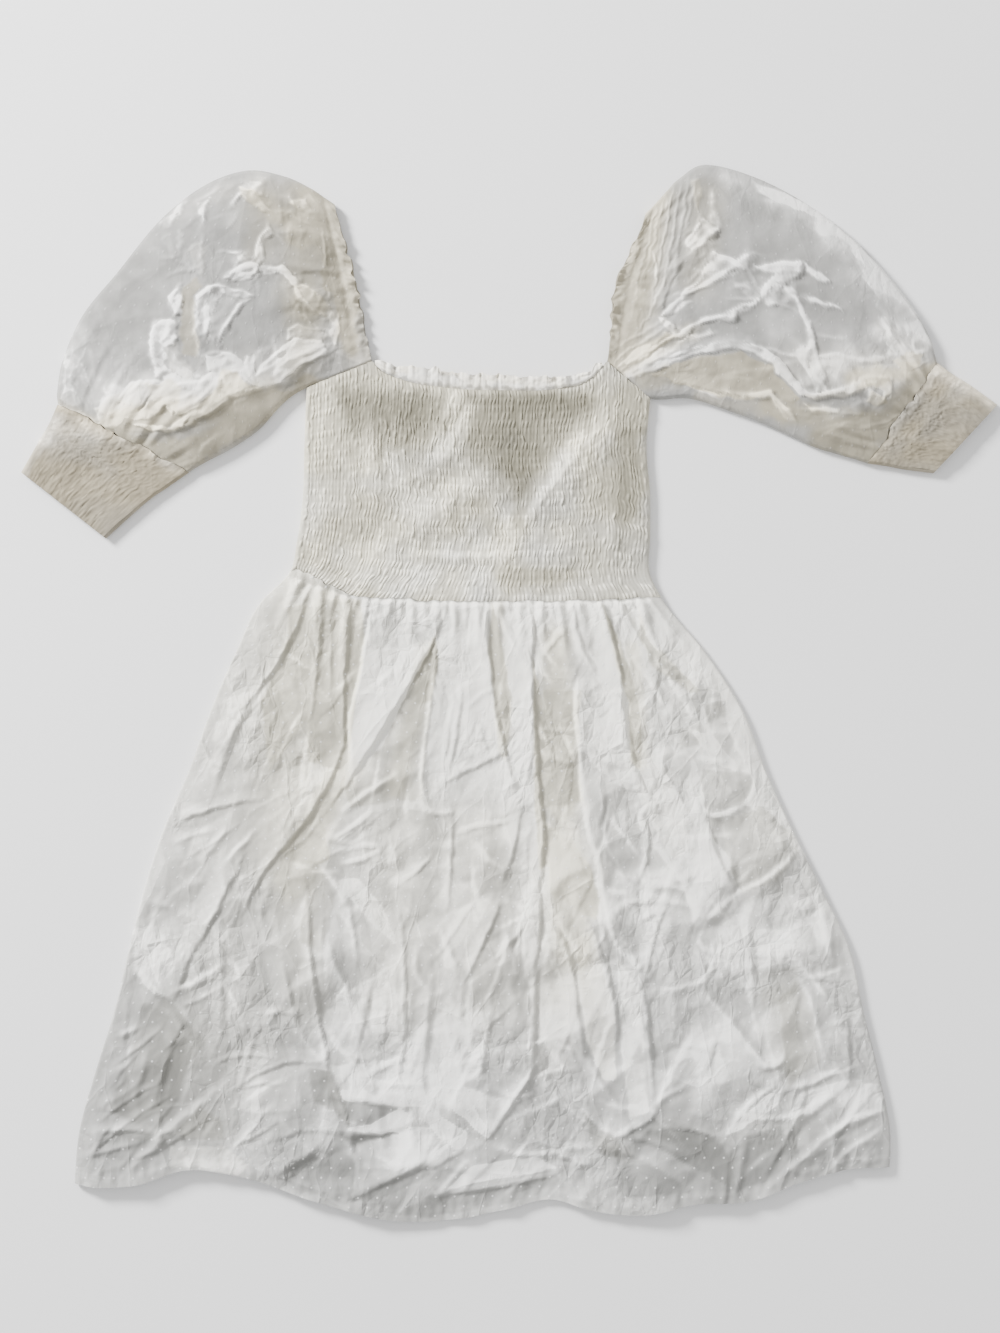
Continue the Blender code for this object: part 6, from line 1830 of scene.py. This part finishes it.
def make_neck_frill():
    """The frilled edge above the first elastic, in uneven waves."""
    x = np.linspace(FRILL_LEFT, FRILL_RIGHT, FRILL_ACROSS + 1)
    shares = np.linspace(0.0, 1.0, FRILL_DOWN + 1)[:, None]
    elastic = neck_elastic(x) + seam_shift(neck_elastic, x)
    edge = line_at(NECK_EDGE, x)
    edge = edge + 1.9 * soft_noise(x / 6.3, 0.0, 304) + soft_noise(x / 2.7, 0.0, 305)
    edge = np.maximum(edge, elastic + 2.0)
    y = elastic + (edge - elastic) * shares
    across = x + 1.3 * soft_noise(x / 5.1, 0.0, 306) * shares
    ripple = soft_noise(x / 4.6, 0.0, 301) + 0.6 * soft_noise(x / 2.1, 0.0, 302)
    size = 0.8 + 0.5 * soft_noise(x / 23.0, 0.0, 303)
    z = 4.9 + soft_step(shares / 0.3) + 2.4 * ripple * size * (0.1 + 0.9 * shares)
    z += 0.9 * soft_noise(x / 3.4, 5.0 * shares, 307) * shares
    z = np.maximum(z, LEAST_HEIGHT + 0.5)
    points = np.stack([across, y, z], axis=2)
    # Painted light and shade: higher waves lighter and lower ones darker; the frill also grows
    # lighter towards its edge.
    tone = FRILL_TONE + 0.50 * (z - 6.4) / 2.0 + 0.30 * shares
    tone += 0.26 * soft_noise(x / 2.3, 4.0 * shares, 309)
    warm = 0.7 + 0.3 * soft_noise(x / 9.0, 3.0 * shares, 308)
    frilled = cotton("frill_cotton", *FRILL_COLOURS, crease=0.4)
    piece = lay_sheet("neck_frill", points, *flat_lengths(points), tone, warm, CLOTH, frilled)
    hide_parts("neck_frill")
    return piece


def near_neck(place, reach):
    """One at the neck edge of a sleeve, nought from a number of its sections on."""
    return np.clip(1.0 - place / reach, 0.0, 1.0)


def cuff_wave(share, seed):
    """How far the cuff seam strays along the arm, the same for the sleeve and its cuff."""
    wave = 1.5 * soft_noise(share * 9.0, 0.0, seed + 51) + soft_noise(share * 21.0, 0.0, seed + 52)
    return 1.15 * wave * arch(share) ** 0.6


def sleeve_frills(share, place, seed):
    """The frilled lip of the neck edge, the pinch of its elastic and the crimps beyond it."""
    frill = near_neck(place, 0.9) * (1.6 * soft_noise(share * 37.0, place * 1.5, seed + 6)
                                     + 0.9 * soft_noise(share * 71.0, place * 2.0, seed + 7))
    pinch = -0.9 * bell(place - 1.0, 0.22)
    crimp = near_neck(place, 2.6) * (soft_noise(share * 33.0, place * 2.4, seed + 13)
                                     + 1.2 * soft_noise(share * 17.0, place * 1.6, seed + 14))
    return frill + pinch + crimp


def shift_sleeve_ends(points, tops, share, place, last, neck_bow, side, cuff_way, seed):
    """The neck edge bowed and frilled, and the cuff edge waved along its seam."""
    middle = arch(share)
    lip = near_neck(place, 0.9)
    bow = neck_bow * near_neck(place, 2.0) * middle ** 2
    set_back = np.where(tops, near_neck(place, 4.0) * middle, 0.0)
    ripple = 2.2 * lip * soft_noise(share * 29.0, 0.0, seed + 9) * middle
    points[:, :, 0] += side * (bow - set_back + ripple)
    seam_wave = cuff_wave(share, seed) * bell(last - place, 0.5)
    points[:, :, 0] += seam_wave * cuff_way[0]
    points[:, :, 1] += seam_wave * cuff_way[1]
    wrinkled = np.where(tops, 0.0, 1.0) * lip * middle
    points[:, :, 2] += wrinkled * (0.8 + 0.8 * soft_noise(share * 40.0, place * 1.2, seed + 10))


def make_sleeve(name, sections, creases, washes, facets, neck_bow, side, cuff_way, seed, material):
    """A puff sleeve: a flattened tube of light cotton, gathered at the neck edge and the cuff."""
    last = len(sections) - 1
    stretch = np.linspace(0.0, 1.0, SLEEVE_DOWN + 1)
    place = last * (0.75 * stretch + 0.25 * stretch ** 2)
    *folds, rise, gather = smooth_columns(sections, place)
    points, tops, share, width = tube_grid(*folds, SLEEVE_ACROSS, SLEEVE_UNDER)
    place = place[:, None]
    x = points[:, :, 0]
    y = points[:, :, 1]
    dome = arch(share) ** 0.75
    fine = soft_noise(share * 26.0 + 0.6 * np.sin(place), place * 0.35, seed)
    broad = soft_noise(share * 13.0 + 0.5 * np.sin(place * 0.8), place * 0.3, seed + 1)
    ruck = gather * (0.9 * fine + 0.9 * broad + 0.5)
    crush = sum(height * crumple(x, y, cell, seed + number, turn, stretch)
                for height, cell, number, turn, stretch in SLEEVE_CRUMPLES)
    main, gleam = lay_creases(creases, *ragged(x, y, 1.4, seed + 21))
    tone, warm = lay_washes(washes, *ragged(x, y, 2.6, seed + 31))
    patch_tone, patch_warm = lay_facets(facets, *ragged(x, y, 1.6, seed + 33), 1.0, 0.04)
    tone += patch_tone
    warm += patch_warm
    white = soft_step(patch_tone / 0.40)
    rumpled = white * (1.1 * crumple(x, y, 9.0, seed + 11, 0.7, 1.6)
                       + 0.8 * crumple(x, y, 5.0, seed + 12, 2.1, 1.6))
    flaky = crumple(x, y, 8.0, seed + 15, 1.1, 2.2)
    main = 0.5 * main + 0.8 * white + rumpled
    full = np.clip(rise / 12.0, 0.0, 1.0)
    cuff_width = width[-1]
    fade = inside(share * cuff_width, (1.0 - share) * cuff_width, 14.0)
    relief = rise * dome + ruck * dome ** 0.5 + (main + crush) * full * fade
    lift = relief + sleeve_frills(share, place, seed) * dome ** 0.5
    raise_top(points, tops, lift)
    shift_sleeve_ends(points, tops, share, place, last, neck_bow, side, cuff_way, seed)
    # Painted light and shade: the washes and patches, highlights along the crests, and the folds
    # and crumples lighter where they lean towards the window and darker where they lean away.
    tone = SLEEVE_TONE + 1.2 * tone * (0.90 + 0.45 * flaky) + 0.6 * gleam
    tone += 0.26 * lit_side(x, y, main, 2.2) * tops
    tone += 0.08 * lit_side(x, y, crush, 4.0) * tops
    band = bell(place, 1.8)
    tone += standing_tone(np.where(tops, lift, 0.0), 0.09, 0.02) * (1.0 - 0.6 * band)
    tone += 0.12 * band - 0.05 * bell(last - place, 0.9)
    tone += 0.07 * soft_noise(x / 26.0, y / 26.0, seed + 8)
    tone += 0.06 * soft_noise(x / 7.0, y / 9.0, seed + 16)
    warm += 0.15 + 0.5 * band
    warm += 0.35 * bell(last - place, 0.8)
    u, _ = flat_lengths(points)
    crest = points[:, SLEEVE_ACROSS // 2, :2]
    steps = np.linalg.norm(np.diff(crest, axis=0), axis=1)
    v = np.append(0.0, np.cumsum(steps))[:, None]
    piece = lay_tube(name, side, points, u, v, tone, warm, CLOTH, material)
    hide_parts(name)
    return piece


def make_cuff(name, sections, seed, side, arm_way, sleeve_seed, material):
    """A wide smocked cuff: elastic rows round the arm, puckers along it."""
    number = np.arange(CUFF_BANDS * CUFF_STEPS + 1)[:, None]
    shares = np.linspace(0.0, 1.0, CUFF_BANDS * CUFF_STEPS + 1)
    folds = smooth_columns(sections, shares * (len(sections) - 1))
    top_x, top_y, low_x, low_y = folds
    points, tops, share, width = tube_grid(*folds, CUFF_RIBS * CUFF_STEPS, CUFF_UNDER)
    rng = np.random.default_rng(seed)
    strength = rng.uniform(0.1, 1.0, (CUFF_BANDS + 1, CUFF_RIBS + 1))
    sway = rng.uniform(-0.5, 0.5, (CUFF_BANDS + 2, 1))
    sway = sway + rng.uniform(-0.25, 0.25, (CUFF_BANDS + 2, CUFF_RIBS + 1))
    rib = np.arange(share.shape[1]) / CUFF_STEPS
    band = number / CUFF_STEPS
    rib_number = np.minimum(np.floor(rib).astype(int), CUFF_RIBS)
    band_number = np.floor(band).astype(int)
    puff = 0.35 + 0.65 * arch(band - band_number) ** 0.8
    lump = strength[band_number, rib_number] * arch(rib - np.floor(rib)) ** 0.8 * puff
    swell = 1.2 * soft_noise(share * 4.0, band / 3.0, seed + 1) + 0.8
    grain = soft_noise(share * width / 2.4, number / 1.7, seed + 4)
    grain += 0.6 * soft_noise(share * width / 1.3, number / 1.1, seed + 5)
    start = bell(shares[:, None], 0.16)
    knots = start * (1.1 + 1.5 * soft_noise(share * 15.0, band / 1.3, seed + 6))
    lift = (0.36 * lump + 0.50 * grain + swell + knots) * arch(share) ** 0.4
    drift = row_drift(sway, band, rib_number) / CUFF_RIBS
    drift = np.where(tops & (rib_number < CUFF_RIBS), drift, 0.0) * arch(share) ** 0.5
    wave = cuff_wave(share, sleeve_seed) * start
    points[:, :, 0] += (top_x - low_x) * drift + wave * arm_way[0]
    points[:, :, 1] += (top_y - low_y) * drift + wave * arm_way[1]
    points[:, :, 2] += np.where(tops, lift, 0.0)
    u = share * width * 1.5
    v = shares[:, None] * 70.0
    # Painted highlights: puckers lighter the higher they stand, most at the knots where the
    # smocking starts.
    tone = CUFF_TONE + 0.06 * lump + 0.06 * grain + 0.20 * knots
    tone = np.where(tops, tone, CUFF_UNDER_TONE)
    tone += 0.06 * soft_noise(share * 9.0, band, seed + 2)
    warm = 0.9 + 0.3 * soft_noise(u / 30.0, v / 20.0, seed + 3)
    washed = ragged(points[:, :, 0], points[:, :, 1], 2.2, seed + 7)
    lighter, tint = lay_washes(CUFF_WASHES, *washed)
    tone += lighter
    warm += tint
    piece = lay_tube(name, side, points, u, v, tone, warm, SMOCKED_CLOTH, material)
    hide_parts(name)
    return piece


def make_floor():
    """A plain pale floor."""
    deselect_all()
    bpy.ops.mesh.primitive_plane_add(size=FLOOR_SIZE, location=(0.0, 0.0, FLOOR_LEVEL))
    floor = bpy.context.object
    floor.name = "floor"
    kit = Nodes("pale_floor")
    grain = kit.noise(kit.add("TexCoord").outputs["Object"], 3.0)
    kit.feed(kit.shader.inputs["Base Color"], kit.mix(grain, FLOOR_DARK, FLOOR_LIGHT))
    kit.shader.inputs["Roughness"].default_value = 0.9
    floor.data.materials.append(kit.material)


def make_light():
    """Soft light from all round, a window on one side and a weak fill on the other."""
    world = bpy.data.worlds.new("studio")
    world.use_nodes = True
    background = world.node_tree.nodes["Background"]
    background.inputs["Color"].default_value = WHITE
    background.inputs["Strength"].default_value = SKY_STRENGTH
    bpy.context.scene.world = world
    for name, place, size, power in LAMPS:
        lamp = bpy.data.lights.new(name, "AREA")
        lamp.size = size
        lamp.energy = power
        light = bpy.data.objects.new(name, lamp)
        light.location = place
        aim = -np.array(place)
        light.rotation_euler = (math.acos(-aim[2] / np.linalg.norm(aim)), 0.0,
                                math.atan2(aim[1], aim[0]) - math.pi / 2)
        bpy.context.scene.collection.objects.link(light)


def make_camera():
    """The camera straight above, as the photograph was taken."""
    eye = bpy.data.cameras.new("camera")
    eye.lens = SENSOR * CAMERA_HEIGHT / VIEW_HEIGHT
    camera = bpy.data.objects.new("camera", eye)
    camera.location = (CAMERA_X + OFFSET_X * MM, CAMERA_Y + OFFSET_Y * MM, CAMERA_HEIGHT)
    bpy.context.scene.collection.objects.link(camera)
    bpy.context.scene.camera = camera


make_floor()
make_light()
make_camera()
make_skirt()
make_bodice()
make_neck_frill()
sleeve_cotton = cotton("sleeve_cotton", *SLEEVE_COLOURS, dots=0.12, crease=0.35)
make_sleeve("sleeve_left", LEFT_SLEEVE, LEFT_SLEEVE_CREASES + strew_creases(LEFT_STREWN, 29, 1.9),
            LEFT_SLEEVE_WASHES, LEFT_SLEEVE_FACETS, neck_bow=3.0, side=1, cuff_way=LEFT_ARM,
            seed=LEFT_SEED, material=sleeve_cotton)
make_sleeve("sleeve_right", RIGHT_SLEEVE,
            RIGHT_SLEEVE_CREASES + strew_creases(RIGHT_STREWN, 31, 1.9),
            RIGHT_SLEEVE_WASHES, RIGHT_SLEEVE_FACETS, neck_bow=10.0, side=-1, cuff_way=RIGHT_ARM,
            seed=RIGHT_SEED, material=sleeve_cotton)
cuff_cotton = cotton("cuff_cotton", *CUFF_COLOURS, crease=0.3, weave=1.8)
make_cuff("cuff_left", LEFT_CUFF, 201, 1, LEFT_ARM, LEFT_SEED, cuff_cotton)
make_cuff("cuff_right", RIGHT_CUFF, 231, -1, RIGHT_ARM, RIGHT_SEED, cuff_cotton)
